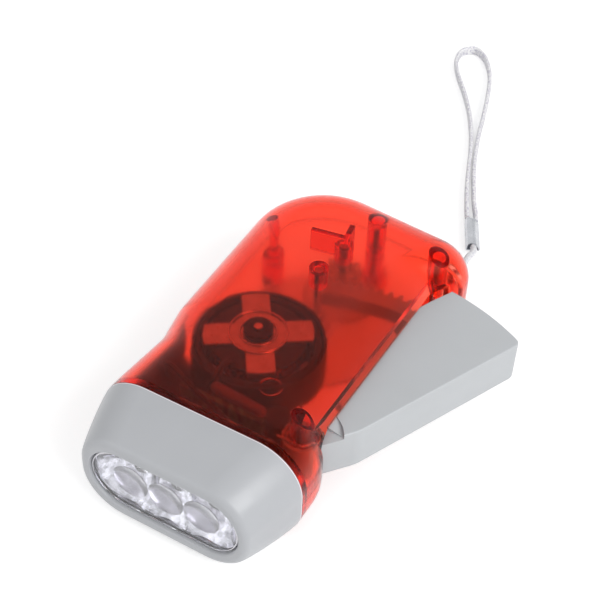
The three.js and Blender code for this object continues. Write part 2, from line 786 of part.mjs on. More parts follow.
function makeBobbin() {
  const lowFlange = bobbinBottom + bobbinFlange;
  const highFlange = bobbinTop - bobbinFlange;
  return turned([
    [bobbinBoreRadius, bobbinBottom], [bobbinRadius, bobbinBottom], [bobbinRadius, lowFlange],
    [bobbinTubeRadius, lowFlange], [bobbinTubeRadius, highFlange],
    [bobbinRadius, highFlange], [bobbinRadius, bobbinTop], [bobbinBoreRadius, bobbinTop],
  ], flywheelX, flywheelY, 28);
}

function makeWinding() {
  const z0 = bobbinBottom + bobbinFlange + gap;
  const z1 = bobbinTop - bobbinFlange - gap;
  return ring(bobbinTubeRadius + gap, bobbinRadius - 2 * gap, z0, z1, flywheelX, flywheelY, 28);
}

const coreTop = upperPlateZ + clawThickness + seatGap;

function makeStatorCore() {
  const bottom = flywheelHubTop + runningGap;
  return turned([
    [axleBore, bottom], [coreRadius, bottom], [coreRadius, coreTop], [coreCollarRadius, coreTop],
    [coreCollarRadius, coreTop + coreCollarHeight], [axleBore, coreTop + coreCollarHeight],
  ], flywheelX, flywheelY, 24);
}

// Posts, bosses and ribs inside the shells
const screwPlaces = [[rearScrewX, rearScrewY], [cornerScrewX, cornerScrewY], [pivotX, pivotY]];

function topPosts() {
  const rootZ = innerTop + gap;
  const posts = screwPlaces.map(([x, y], i) => {
    const radius = i === 2 ? pivotPostRadius : postRadius;
    const pilot = rod(pilotRadius, x, y, partingZ - overrun, screwTopZ + pilotOverrun, 12);
    return cut(rod(radius, x, y, partingZ, rootZ, 20), pilot);
  });
  const locator = rod(locatorRadius, locatorX, locatorY, locatorBottom, rootZ, 16);
  const transferBoss = cut(
    rod(axleBossRadius, transferX, transferY, transferBossBottom, rootZ, 20),
    rod(axleBore, transferX, transferY, transferBossBottom - overrun, transferAxleTop + gap, 16),
  );
  const springPeg = rod(
    springPegRadius,
    pivotX - springLegLength + springPegRadius,
    pivotY - returnSpringRadius - springWireRadius - gap - springPegRadius,
    returnSpringTop - 2 * springWireRadius,
    rootZ,
    12,
  );
  const statorRing = ring(statorRingInner, statorRingOuter, coreTop, rootZ, flywheelX, flywheelY, 36);
  return join(...posts, locator, transferBoss, springPeg, statorRing, angleRib());
}

// The angled rib under the roof, with the drive axle's boss in its corner
function angleRib() {
  const tilt = degrees(10.4);
  const rib = (x0, x1, y0, y1, z0) => {
    const geometry = new THREE.BoxGeometry(x1 - x0, y1 - y0, innerTop + gap - z0);
    geometry.translate((x0 + x1) / 2, (y0 + y1) / 2, (innerTop + gap + z0) / 2);
    geometry.rotateZ(tilt);
    geometry.translate(driveX + ribThickness / 2, driveY + ribThickness, 0);
    return solidOf(geometry);
  };
  const floor = innerTop - ribDepth;
  const long = rib(-ribLength, 0, -ribThickness, 0, floor);
  const short = rib(-ribThickness, 0, -ribThickness, ribReturn, floor);
  const boss = rod(axleBossRadius, driveX, driveY, driveBossBottom, driveBossTop, 20);
  const bore = rod(axleBore, driveX, driveY, driveBossBottom - overrun, driveAxleTop + gap, 16);
  return cut(join(long, short, boss), bore);
}

function bottomPosts() {
  const rootZ = wall - gap;
  const posts = screwPlaces.map(([x, y], i) => {
    const radius = i === 2 ? pivotPostRadius : postRadius;
    const base = rod(screwHeadRadius + screwBaseWall, x, y, rootZ, screwRecessDepth + wall / 2, 24);
    return join(base, rod(radius, x, y, rootZ, partingZ, 20));
  });
  const socket = cut(
    rod(locatorSocketRadius, locatorX, locatorY, rootZ, partingZ, 20),
    rod(locatorRadius + gap, locatorX, locatorY, locatorBottom - gap, partingZ + overrun, 16),
  );
  const axleBosses = [[transferX, transferY], [flywheelX, flywheelY]].map(([x, y]) => cut(
    rod(axleBossRadius, x, y, rootZ, transferGearBottom - runningGap, 20),
    rod(axleBore, x, y, wall, transferGearBottom + overrun, 16),
  ));
  const tipRoom = trainModule / 2 + gap;
  const wheelRooms = [
    rod(
      transferGearTeeth * trainModule / 2 + tipRoom,
      transferX, transferY,
      transferGearBottom - gap, transferGearTop + gap,
      48,
    ),
    rod(
      driveGearTeeth * trainModule / 2 + tipRoom,
      driveX, driveY,
      driveGearBottom - gap, driveGearTop + gap,
      36,
    ),
  ];
  const strapPost = rod(strapPostRadius, strapPostX, strapPostY, rootZ, partingZ + 2 * wall, 16);
  return join(cut(join(...posts, socket), ...wheelRooms), ...axleBosses, strapPost, electronicsRibs());
}

function screwBores() {
  return screwPlaces.flatMap(([x, y]) => [
    rod(screwShankRadius + gap, x, y, -overrun, partingZ + gap, 12),
    rod(screwHeadRadius + gap, x, y, -overrun, screwRecessDepth, 20),
  ]);
}

// Low ribs that hold the cell and the circuit board
const ribTop = 5.6;
const ribHold = 1.1;

function electronicsRibs() {
  const rootZ = wall - gap;
  const reach = cellRadius * 0.7;
  const cellBack = cellY + cellThickness;
  const boardBack = circuitY + boardThickness;
  const boardRight = circuitLeft + circuitWidth;
  const ribBefore = (x0, x1, y) => block(x0, x1, y - seatGap - ribHold, y - seatGap, rootZ, ribTop);
  const ribBehind = (x0, x1, y) => block(x0, x1, y + seatGap, y + seatGap + ribHold, rootZ, ribTop);
  return join(
    ribBefore(cellX - reach, cellX + reach, cellY),
    ribBehind(cellX - reach, cellX + reach, cellBack),
    ribBefore(circuitLeft, circuitLeft + 3 * ribHold, circuitY),
    ribBehind(boardRight - 3 * ribHold, boardRight, boardBack),
    ribBehind(circuitLeft, circuitLeft + 3 * ribHold, boardBack),
  );
}

// Head: bezel, lens, reflector, light-emitting diodes
const bezelFrontY = headJointY - bezelLength;

function stadium(width, height, y0, y1, sides = 12) {
  const radius = height / 2;
  const straight = width / 2 - radius;
  const right = arcPoints(straight, 0, radius, 0, 180, sides);
  const left = arcPoints(-straight, 0, radius, 180, 360, sides);
  const geometry = new THREE.ExtrudeGeometry(new THREE.Shape([...right, ...left]), {
    depth: y1 - y0,
    bevelEnabled: false,
  });
  geometry.rotateX(Math.PI / 2);
  geometry.translate(0, y1, bodyHeight / 2);
  return solidOf(geometry);
}

// The bezel narrows towards its front along a superellipse, the sides more evenly than the top
function bezelSection(y, inset) {
  const along = Math.min(1, (headJointY - y) / bezelLength);
  const taperWith = (bend) => 1 - (1 - along ** bend) ** (1 / bend);
  const taper = taperWith(bezelTopBend);
  const halfWidth = headWidth / 2 - bezelSideTaper * taperWith(bezelSideBend) - inset;
  const halfHeight = bodyHeight / 2 - bezelTopTaper * taper - inset;
  const radius = edgeRadius + (bezelFrontRadius - edgeRadius) * taper - inset;
  const corners = [[1, -1], [1, 1], [-1, 1], [-1, -1]].map(([sx, sz]) => ({
    x: sx * halfWidth,
    y: sz * halfHeight,
    radius,
  }));
  return roundedOutline(corners, [7, 7, 7, 7])
    .map((point) => new THREE.Vector3(point.x, y, bodyHeight / 2 + point.y));
}

function bezelForm(inset, frontY, backY) {
  const levels = [0, 0.25, 0.45, 0.62, 0.76, 0.87, 0.95, 1];
  const rings = levels.map((share) => {
    const y = headJointY + (bezelFrontY - headJointY) * share;
    return bezelSection(y, inset);
  }).filter((points) => points[0].y > frontY);
  const back = bezelSection(headJointY, inset).map((point) => new THREE.Vector3(point.x, backY, point.z));
  const front = bezelSection(frontY, inset);
  const all = backY > headJointY ? [back, ...rings, front] : [...rings, front];
  return cappedLoft(all, (point) => new THREE.Vector2(point.x, point.z));
}

function makeBezel() {
  const frontInner = bezelFrontY + bezelFrontWall;
  const outer = bezelForm(0, bezelFrontY, headJointY);
  const hollow = bezelForm(bezelWall, frontInner, headJointY + overrun);
  const mouth = stadium(lensWidth + 2 * gap, lensHeight + 2 * gap, bezelFrontY - overrun, frontInner + gap);
  return cut(outer, hollow, mouth);
}

const lensFrontY = bezelFrontY + lensRecess;
const lensFlangeY = bezelFrontY + bezelFrontWall + seatGap;
const lensBackY = lensFlangeY + lensFlangeThickness;

function makeLens() {
  const flangeWidth = lensWidth + 2 * lensFlangeRim;
  const flangeHeight = lensHeight + 2 * lensFlangeRim;
  return join(
    stadium(lensWidth, lensHeight, lensFrontY, lensFlangeY + lensFlangeThickness / 2, 16),
    stadium(flangeWidth, flangeHeight, lensFlangeY, lensBackY, 16),
  );
}

const reflectorFrontY = lensBackY + seatGap;
const reflectorBackY = reflectorFrontY + reflectorDepth;
const ledTipY = reflectorFrontY + ledTipDepth;
const ledXs = [-ledPitch, 0, ledPitch];

function turnedAlongY(profile, x, segments) {
  const points = profile.map(([radius, y]) => new THREE.Vector2(radius, y));
  const geometry = new THREE.LatheGeometry(points, segments);
  geometry.translate(x, 0, bodyHeight / 2);
  return solidOf(geometry);
}

function makeReflector() {
  const blockOut = stadium(
    lensWidth + 2 * reflectorRim,
    lensHeight + 2 * reflectorRim,
    reflectorFrontY,
    reflectorBackY,
  );
  const farEnd = reflectorBackY + overrun;
  const nearEnd = reflectorFrontY - overrun;
  const bowls = ledXs.map((x) => {
    const steps = 6;
    const curve = Array.from({ length: steps + 1 }, (_, i) => {
      const share = i / steps;
      const radius = ledRadius + (bowlRadius - ledRadius) * share;
      return [radius, reflectorFrontY + bowlDepth * (1 - share ** 1.6)];
    });
    const throat = ledRadius + gap / 2;
    return turnedAlongY([
      [0, farEnd], [throat, farEnd], [throat, reflectorFrontY + bowlDepth],
      ...curve.slice(1), [bowlRadius, nearEnd], [0, nearEnd],
    ].reverse(), x, 20);
  });
  const mouth = stadium(lensWidth, lensHeight, nearEnd, reflectorBackY);
  return cut(blockOut, ...bowls.map((bowl, i) => {
    const throat = rodAlongY(ledRadius + gap, ledXs[i], reflectorFrontY, farEnd, bodyHeight / 2);
    return bowl.intersect(join(mouth, throat));
  }));
}

function makeLed(x) {
  const backY = ledTipY + ledDomeLength;
  const dome = Array.from({ length: 6 }, (_, i) => {
    const angle = (Math.PI / 2) * (i / 5);
    return [ledRadius * Math.sin(angle), ledTipY + ledRadius * (1 - Math.cos(angle))];
  });
  return turnedAlongY([
    ...dome, [ledRadius, backY - ledFlangeThickness], [ledFlangeRadius, backY - ledFlangeThickness],
    [ledFlangeRadius, backY], [0, backY],
  ], x, 18);
}

const ledBoardY = ledTipY + ledDomeLength + seatGap;

function makeLedBoard() {
  const z = bodyHeight / 2;
  const halfWidth = lensWidth / 2 - ledBoardInset;
  const halfHeight = lensHeight / 2 - ledBoardInset;
  return block(-halfWidth, halfWidth, ledBoardY, ledBoardY + boardThickness, z - halfHeight, z + halfHeight);
}

// Tubes along a path: wires and cords
function sweep(path, section, steps) {
  const geometry = new THREE.ExtrudeGeometry(new THREE.Shape(section), {
    steps,
    extrudePath: path,
    bevelEnabled: false,
  });
  return solidOf(geometry);
}

function circleSection(radius, sides) {
  return Array.from({ length: sides }, (_, i) => new THREE.Vector2(
    radius * Math.cos((i / sides) * TAU),
    radius * Math.sin((i / sides) * TAU),
  ));
}

function curveThrough(points) {
  const path = points.map(([x, y, z]) => new THREE.Vector3(x, y, z));
  return new THREE.CatmullRomCurve3(path, false, 'centripetal');
}

function wire(points) {
  return sweep(curveThrough(points), circleSection(wireRadius, 6), 12);
}

const circuitTop = wall + seatGap + circuitHeight;

function coilWire(side) {
  const x = flywheelX - 2 * side * wireRadius - wireRadius;
  const rimY = flywheelY - flywheelRadius;
  const boardBack = circuitY + boardThickness + seatGap;
  return wire([
    [x + wireRadius, flywheelY - bobbinRadius + 2 * wireRadius, bobbinTop + wireRadius + gap],
    [x, flywheelY - bobbinRadius - 2 * wireRadius, bobbinTop + wireRadius + 2 * gap],
    [x, rimY - gap, flywheelTop + 3 * wireRadius],
    [x - side * wireRadius, (rimY + boardBack) / 2, circuitTop - 2 * wireRadius],
    [x - 2 * side * wireRadius, boardBack + wireRadius, circuitTop - (3 + 4 * side) * wireRadius],
    [x - 2 * side * wireRadius, boardBack, circuitTop - (3 + 4 * side) * wireRadius],
  ]);
}

function ledWire(side) {
  const x = circuitLeft + 5 * wireRadius + 4 * side * wireRadius;
  const z = circuitTop;
  const back = ledBoardY + boardThickness + gap;
  const middle = (back + circuitY) / 2;
  return wire([
    [x - 2 * side * wireRadius, back, z - 5 * wireRadius],
    [x - 2 * side * wireRadius, back + 2 * wireRadius, z - 5 * wireRadius],
    [x, middle, z + 4 * wireRadius],
    [x, circuitY - gap - 2 * wireRadius, z - 5 * wireRadius],
    [x, circuitY - gap, z - 5 * wireRadius],
  ]);
}

// Springs: one unbroken tube each, eight steps to a curl and five sides
function springTube(points, wireSize) {
  const sides = 5;
  const rings = points.map((point, i) => {
    const before = points[Math.max(0, i - 1)];
    const after = points[Math.min(points.length - 1, i + 1)];
    const along = after.clone().sub(before).normalize();
    const across = new THREE.Vector3(0, 0, 1).cross(along).normalize();
    const up = along.clone().cross(across);
    return Array.from({ length: sides }, (_, k) => {
      const angle = (k / sides) * TAU;
      return point.clone()
        .addScaledVector(across, wireSize * Math.cos(angle))
        .addScaledVector(up, wireSize * Math.sin(angle));
    });
  });
  const { positions, index, count } = loft(rings);
  const last = (rings.length - 1) * count;
  for (let k = 1; k + 1 < sides; k += 1) {
    index.push(0, k + 1, k);
    index.push(last, last + k, last + k + 1);
  }
  const geometry = new THREE.BufferGeometry();
  geometry.setAttribute('position', new THREE.Float32BufferAttribute(positions, 3));
  geometry.setIndex(index);
  return solidOf(geometry);
}

function helix(x, y, radius, z0, pitch, steps, turnSense) {
  return Array.from({ length: steps + 1 }, (_, i) => {
    const angle = turnSense * (i / 8) * TAU;
    const z = z0 + pitch * (i / 8);
    return new THREE.Vector3(x + radius * Math.cos(angle), y + radius * Math.sin(angle), z);
  });
}

function leastCurlGap(points, wireSize) {
  let least = Infinity;
  for (let i = 0; i < points.length; i += 1) {
    for (let j = i + 6; j < points.length; j += 1) {
      least = Math.min(least, points[i].distanceTo(points[j]) - 2 * wireSize);
    }
  }
  return least;
}

function makeReturnSpring() {
  const coil = helix(
    pivotX, pivotY,
    returnSpringRadius,
    returnSpringBottom, returnSpringPitch,
    returnSpringSteps, -1,
  );
  const first = coil[0];
  const last = coil[coil.length - 1];
  const leverLeg = [1, 0.4].map((share) => {
    return new THREE.Vector3(first.x, first.y + springLegLength * share, first.z);
  });
  const shellLeg = [0.4, 1].map((share) => {
    return new THREE.Vector3(last.x - springLegLength * share, last.y, last.z);
  });
  console.log('return spring least gap, mm', leastCurlGap(coil, springWireRadius).toFixed(2));
  return springTube([...leverLeg, ...coil, ...shellLeg], springWireRadius);
}

function makeClutchSpring() {
  const z0 = drivePinionTop + gap + springWireRadius;
  const pitch = (driveBossBottom - gap - springWireRadius - z0) / clutchSpringTurns;
  const coil = helix(driveX, driveY, clutchSpringRadius, z0, pitch, 8 * clutchSpringTurns, 1);
  console.log('clutch spring least gap, mm', leastCurlGap(coil, springWireRadius).toFixed(2));
  return springTube(coil, springWireRadius);
}

// Fasteners
function makeScrew(x, y) {
  const seat = screwRecessDepth - seatGap;
  const head = rod(screwHeadRadius, x, y, seat - screwHeadHeight, seat, 20);
  const shank = rod(screwShankRadius, x, y, seat - gap, screwTopZ, 10);
  const slot = screwSlotWidth;
  const depth = screwHeadHeight * 0.6;
  const low = seat - screwHeadHeight - overrun;
  const reach = screwHeadRadius * 0.65;
  return cut(
    join(head, shank),
    block(x - reach, x + reach, y - slot / 2, y + slot / 2, low, low + overrun + depth),
    block(x - slot / 2, x + slot / 2, y - reach, y + reach, low, low + overrun + depth),
  );
}

// Wrist strap, lying on the surface behind the body. Places are counted from the head joint.
const strapFloor = 0.15;
const strapEdgeZ = strapFloor + strapWidth / 2;
const tetherRoute = [
  [21.4, 78.5, 13.5], [21.4, 82, 13.5], [21.3, 85.6, 13.4], [20.7, 89, 12.1], [19.9, 92.6, 10],
  [19.2, 96.2, 7.7], [18.4, 99.6, 5.4], [17.5, 102.6, 3.4], [16.7, 104.4, 2.2], [16.2, 105.4, 1.7],
];
const loopRoute = [
  [10.1, 114.9, strapEdgeZ], [8.8, 117.2, strapEdgeZ], [6.7, 121.6, strapEdgeZ],
  [4.2, 127.1, strapEdgeZ], [1.1, 134.8, strapEdgeZ], [-2.5, 143.9, strapEdgeZ],
  [-6.7, 152.9, strapEdgeZ], [-11.3, 161.1, strapEdgeZ], [-16.4, 168.6, strapEdgeZ],
  [-21.7, 175.7, strapEdgeZ], [-25.2, 182, strapEdgeZ], [-25.7, 187.8, strapEdgeZ],
  [-22.8, 190.7, strapEdgeZ], [-19.1, 188.9, strapEdgeZ], [-15.5, 184.5, strapEdgeZ],
  [-12.4, 178.8, strapEdgeZ], [-9.1, 170, strapEdgeZ], [-5.8, 159.7, strapEdgeZ],
  [-3.5, 151.8, strapEdgeZ], [-1, 144.4, strapEdgeZ], [2.7, 134.9, strapEdgeZ],
  [6.1, 127.5, strapEdgeZ], [9, 121.6, strapEdgeZ], [11.2, 117.8, strapEdgeZ],
  [12.3, 115.7, strapEdgeZ],
];

function fromHead(points) {
  return points.map(([x, y, z]) => [x, headJointY + y, z]);
}

function makeTether() {
  return sweep(curveThrough(fromHead(tetherRoute)), circleSection(tetherRadius, 8), 16);
}

function makeStrapLoop() {
  const halfWidth = strapWidth / 2;
  const halfThickness = strapThickness / 2;
  const shoulder = halfWidth - halfThickness;
  const section = [
    [halfWidth, 0], [shoulder, halfThickness], [-shoulder, halfThickness],
    [-halfWidth, 0], [-shoulder, -halfThickness], [shoulder, -halfThickness],
  ].map(([x, y]) => new THREE.Vector2(x, y));
  return sweep(curveThrough(fromHead(loopRoute)), section, 60);
}

// Folded clamp with one broad bevel, as shares of its width and height
const crimpShares = [[-0.5, 0], [0.5, 0], [0.5, 0.3], [0.16, 1], [-0.4, 1], [-0.5, 0.6]];

function makeCrimp() {
  const start = tetherRoute[tetherRoute.length - 1];
  const end = loopRoute[0].map((value, i) => (value + loopRoute[loopRoute.length - 1][i]) / 2);
  const length = Math.hypot(end[0] - start[0], end[1] - start[1]) - 2 * gap;
  const section = crimpShares.map(([x, y]) => new THREE.Vector2(x * crimpWidth, y * crimpHeight));
  const geometry = new THREE.ExtrudeGeometry(new THREE.Shape(section), {
    depth: length,
    bevelEnabled: false,
  });
  geometry.translate(0, 0, -length / 2);
  geometry.rotateX(Math.PI / 2);
  geometry.rotateZ(Math.atan2(end[1] - start[1], end[0] - start[0]) - Math.PI / 2);
  geometry.translate((start[0] + end[0]) / 2, headJointY + (start[1] + end[1]) / 2, strapFloor);
  return solidOf(geometry);
}

// Looks
const shellRed = { color: 0xd8261c, roughness: 0.3, metalness: 0 };
const headGrey = { color: 0xb4bab9, roughness: 0.45, metalness: 0 };
const clear = { color: 0xeef2f4, roughness: 0.1, metalness: 0 };
const chrome = { color: 0xd9dcdf, roughness: 0.12, metalness: 1 };
const steel = { color: 0x9a9ea2, roughness: 0.35, metalness: 1 };
const black = { color: 0x1a1a1c, roughness: 0.5, metalness: 0 };
const nylon = { color: 0xe9e6dc, roughness: 0.5, metalness: 0 };
const copper = { color: 0xb5673a, roughness: 0.4, metalness: 1 };
const board = { color: 0x2f5d3a, roughness: 0.6, metalness: 0 };
const cord = { color: 0xc9c7d0, roughness: 0.9, metalness: 0 };

const model = new THREE.Group();

function place(name, solid, look) {
  const mesh = new THREE.Mesh(geometryOf(solid), new THREE.MeshStandardMaterial(look));
  mesh.name = name;
  model.add(mesh);
}

const housing = hollowHousing();
const withinWalls = housingForm(wall / 2);
const upperHalf = slab(-farY, farY, partingZ);
const lowerHalf = slab(-farY, farY, -overrun, partingZ);
const roof = join(housing.intersect(upperHalf), topPosts().intersect(withinWalls));
const floor = join(housing.intersect(lowerHalf), bottomPosts().intersect(withinWalls));
place('top_shell', cut(roof, strapWindow()), shellRed);
place('bottom_shell', cut(floor, ...screwBores()), shellRed);

place('head_bezel', makeBezel(), headGrey);
place('lens', makeLens(), clear);
place('reflector', makeReflector(), chrome);
ledXs.forEach((x, i) => place(`led_${i + 1}`, makeLed(x), clear));
place('led_board', makeLedBoard(), board);

place('storage_cell', rodAlongY(
  cellRadius, cellX, cellY, cellY + cellThickness, wall + seatGap + cellRadius, 28,
), steel);
place('circuit_board', block(
  circuitLeft, circuitLeft + circuitWidth, circuitY, circuitY + boardThickness, wall + seatGap, circuitTop,
), board);
place('rectifier', block(
  circuitLeft + (circuitWidth - rectifierWidth) / 2 + rectifierOffset,
  circuitLeft + (circuitWidth + rectifierWidth) / 2 + rectifierOffset,
  circuitY + boardThickness + gap,
  circuitY + boardThickness + gap + rectifierDepth,
  circuitTop - rectifierHeight - rectifierDrop,
  circuitTop - rectifierDrop,
), black);
place('coil_wire_1', coilWire(0), black);
place('coil_wire_2', coilWire(1), black);
place('led_wire_1', ledWire(0), black);
place('led_wire_2', ledWire(1), black);

place('flywheel', makeFlywheel(), black);
place('ring_magnet', makeMagnet(), black);
place('flywheel_axle', rod(axleRadius, flywheelX, flywheelY, wall + gap, flywheelAxleTop, 16), steel);
place('flywheel_pinion', makeFlywheelPinion(), nylon);
place('upper_pole_plate', makePolePlate(upperPlateZ, -1, poleTurnDegrees), steel);
place('lower_pole_plate', makePolePlate(lowerPlateZ, 1, poleTurnDegrees + 180 / poleArms), steel);
place('coil_bobbin', makeBobbin(), black);
place('coil_winding', makeWinding(), copper);
place('stator_core', makeStatorCore(), steel);

place('transfer_gear', makeTransferGear(), nylon);
place('transfer_axle', rod(axleRadius, transferX, transferY, wall + gap, transferAxleTop, 16), steel);
place('drive_gear', makeDriveGear(), nylon);
place('drive_pinion', makeDrivePinion(), nylon);
place('drive_axle', join(
  rod(axleRadius, driveX, driveY, driveAxleBottom, driveAxleTop, 16),
  rod(driveAxleHead, driveX, driveY, driveAxleBottom, driveAxleBottom + driveAxleHeadHeight, 16),
), steel);
place('clutch_spring', makeClutchSpring(), steel);

place('lever', makeLever(), headGrey);
place('lever_return_spring', makeReturnSpring(), steel);
screwPlaces.forEach(([x, y], i) => place(`housing_screw_${i + 1}`, makeScrew(x, y), steel));

place('strap_tether', makeTether(), cord);
place('strap_crimp', makeCrimp(), steel);
place('strap_loop', makeStrapLoop(), cord);

export default model;
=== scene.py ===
"""Squeeze dynamo flashlight: red see-through shells, grey head and lever, gears, generator and strap.

Lengths are millimetres until a mesh is made. +Z is up, the beam points to -Y and the lever is on the +X side.
"""
import math
from contextlib import contextmanager

import bmesh
import bpy
from mathutils import Matrix, Vector


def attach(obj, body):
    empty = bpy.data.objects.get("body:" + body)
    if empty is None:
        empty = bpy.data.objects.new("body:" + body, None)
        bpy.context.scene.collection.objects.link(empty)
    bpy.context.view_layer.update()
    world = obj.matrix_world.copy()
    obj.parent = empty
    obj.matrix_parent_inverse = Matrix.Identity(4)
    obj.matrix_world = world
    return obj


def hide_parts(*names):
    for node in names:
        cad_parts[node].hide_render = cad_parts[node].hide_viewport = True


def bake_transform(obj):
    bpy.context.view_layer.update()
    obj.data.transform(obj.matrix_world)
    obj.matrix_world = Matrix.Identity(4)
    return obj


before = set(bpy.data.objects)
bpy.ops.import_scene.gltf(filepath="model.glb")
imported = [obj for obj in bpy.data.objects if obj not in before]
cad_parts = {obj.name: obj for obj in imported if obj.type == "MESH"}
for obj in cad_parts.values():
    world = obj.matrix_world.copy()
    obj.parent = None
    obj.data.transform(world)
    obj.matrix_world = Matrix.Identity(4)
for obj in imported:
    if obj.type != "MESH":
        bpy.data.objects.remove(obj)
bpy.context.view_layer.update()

MM = 0.001
TAU = math.tau

# Housing
BODY_HEIGHT = 27.2
HEAD_WIDTH = 49.8
BODY_LENGTH = 84
EDGE_RADIUS = 11.2
WALL = 1.8
PARTING_Z = 13.5
SEAM = 0.08
HEAD_JOINT_Y = -38
NECK_LENGTH = 5
NECK_WALL = 1.3
NECK_COLLAR = 2.5
OUTLINE_OVERRUN = 12
OVERRUN = 3
GAP = 0.3
FAR = 140
WELD_REACH = 0.002
TINY = 1e-6

# Head
BEZEL_LENGTH = 15
BEZEL_WALL = 1.8
BEZEL_SIDE_TAPER = 4.5
BEZEL_TOP_TAPER = 2.75
BEZEL_SIDE_BEND = 1.1
BEZEL_TOP_BEND = 1.5
BEZEL_FRONT_RADIUS = 9.85
BEZEL_FRONT_WALL = 1.7
BEZEL_RIM = 0.15
# How far forwards from the bezel's rear edge the band painted as a highlight reaches
BEZEL_HIGHLIGHT_DEPTH = 0.36
BEZEL_NOSE = 1.1
LENS_WIDTH = 36.3
LENS_HEIGHT = 16.1
LENS_RECESS = 0.7
LENS_FLANGE_RIM = 0.9
LENS_FLANGE_THICKNESS = 0.8
REFLECTOR_DEPTH = 7
REFLECTOR_RIM = 1
REFLECTOR_EDGE = 0.12
BOWL_RADIUS = 8.6
BOWL_DEPTH = 5.4
LED_PITCH = 9.3
LED_RADIUS = 2.5
LED_DOME_LENGTH = 8.6
LED_FLANGE_RADIUS = 2.9
LED_FLANGE_THICKNESS = 1
LED_TIP_DEPTH = 3.2

# Lever
PIVOT_X = 17
PIVOT_Y = HEAD_JOINT_Y + 12.1
LEVER_BOTTOM = 7.5
LEVER_TOP = 19.3
LEVER_REACH = 57.8
LEVER_HUB_RADIUS = 4.1
LEVER_ELBOW_X = 10.4
LEVER_ELBOW_Y = 7.3
LEVER_ELBOW_RADIUS = 10
LEVER_OPEN_DEGREES = 30.3
LEVER_INNER_DEGREES = 8.2
LEVER_INNER_END_Y = HEAD_JOINT_Y + 58
LEVER_REAR_X = 22.4
LEVER_REAR_Y = HEAD_JOINT_Y + 63.5
LEVER_WALL = 1.6
LEVER_BOTTOM_EDGE = 1.5
LEVER_TOP_EDGE = 0.4
LEVER_STEP_RADIUS = 9.4
LEVER_STEP_DEPTH = 1.2
LEVER_CREASE = 4.9
LEVER_SLOPE_START = 3.2
LEVER_SLOPE_END = 12
LEVER_SLOPE_DROP = 2.2
LEVER_INNER_X = 20.1
LEVER_CORNER_RADIUS = 1.8
PIVOT_POST_RADIUS = 2.3
SLOT_FRONT_Y = HEAD_JOINT_Y + 10.4
SLOT_DEGREES = 40
SLOT_TOP = LEVER_TOP + GAP
LIP_INNER_X = 19.4
LIP_OUTER_X = 21.9
LIP_TOP = 21.6
LIP_SINK = 0.05
LIP_REAR_Y = 30

# Axles: each is seen from the one before it, in degrees from +Y towards +X
DRIVE_REACH = 56
DRIVE_DEGREES = -19.5
TRANSFER_REACH = 12
TRANSFER_DEGREES = 181
FLYWHEEL_REACH = 21.5
FLYWHEEL_DEGREES = 189.1


def polar(place, reach, degrees):
    angle = math.radians(degrees)
    return place[0] + reach * math.sin(angle), place[1] + reach * math.cos(angle)


PIVOT = (PIVOT_X, PIVOT_Y)
DRIVE = polar(PIVOT, DRIVE_REACH, DRIVE_DEGREES)
TRANSFER = polar(DRIVE, TRANSFER_REACH, TRANSFER_DEGREES)
FLYWHEEL = polar(TRANSFER, FLYWHEEL_REACH, FLYWHEEL_DEGREES)

# Posts, bosses and ribs
POST_RADIUS = 2.4
PILOT_RADIUS = 0.9
CORE_RADIUS = 1.6
CORE_DEPTH = 1.6
SCREWS = [
    (1.5, HEAD_JOINT_Y + 75.8, POST_RADIUS),
    (19.1, HEAD_JOINT_Y + 72.9, POST_RADIUS),
    (PIVOT_X, PIVOT_Y, PIVOT_POST_RADIUS),
]
SCREW_HEAD_RADIUS = 1.9
SCREW_SEAT_WALL = 1.5
SCREW_RECESS_DEPTH = 5.6
SCREW_SHANK_ROOM = 1.05
SCREW_TOP_Z = 22
BOSS_RADIUS = 2.3
BOSS_BORE_RADIUS = 1.3
BOTTOM_BOSS_Z = 4.1
TRANSFER_BOSS_Z = 20.3
TRANSFER_BORE_Z = 24.3
TRANSFER_ROOM = (19.05, 4.1, 5.9)
DRIVE_BOSS_Z = 19.2
DRIVE_BOSS_TOP = 23.6
DRIVE_BORE_Z = 23.1
DRIVE_ROOM = (9.55, 6.2, 8)
LOCATOR_PLACE = (-20.3, 25.3)
LOCATOR_RADIUS = 1.3
LOCATOR_Z = 9.9
SOCKET_RADIUS = 2.8
ROOF_RIB_DEGREES = 10.4
ROOF_RIB_LENGTH = 9.4
ROOF_RIB_FLANGE = 4.2
ROOF_RIB_WIDTH = 1.3
ROOF_RIB_DEPTH = 6
FLOOR_RIB_WIDTH = 1.1
FLOOR_RIB_TOP = 5.6
FLOOR_RIBS = [
    (-1.6, 9.6, -34.8), (-1.6, 9.6, -29.9), (-12.5, -9.2, -29), (5.2, 8.5, -26.1), (-12.5, -9.2, -26.1),
]
STRAP_POST_PLACE = (21.4, 39.2)
STRAP_POST_RADIUS = 1
WINDOW_LEFT_X = 19.1
WINDOW_RIGHT_X = 23.7
WINDOW_FRONT_Y = 40.2
WINDOW_HALF_HEIGHT = 2.2
EJECTOR_PLACES = [(7.9, -22.9), (16.6, -15.4)]
EJECTOR_RADII = (2.3, 2.55)
EJECTOR_DEPTH = 0.22


def rgb(code):
    """The linear colour of a hex code."""
    values = [int(code[i:i + 2], 16) / 255 for i in (0, 2, 4)]
    return [v / 12.92 if v <= 0.04045 else ((v + 0.055) / 1.055) ** 2.4 for v in values] + [1.0]


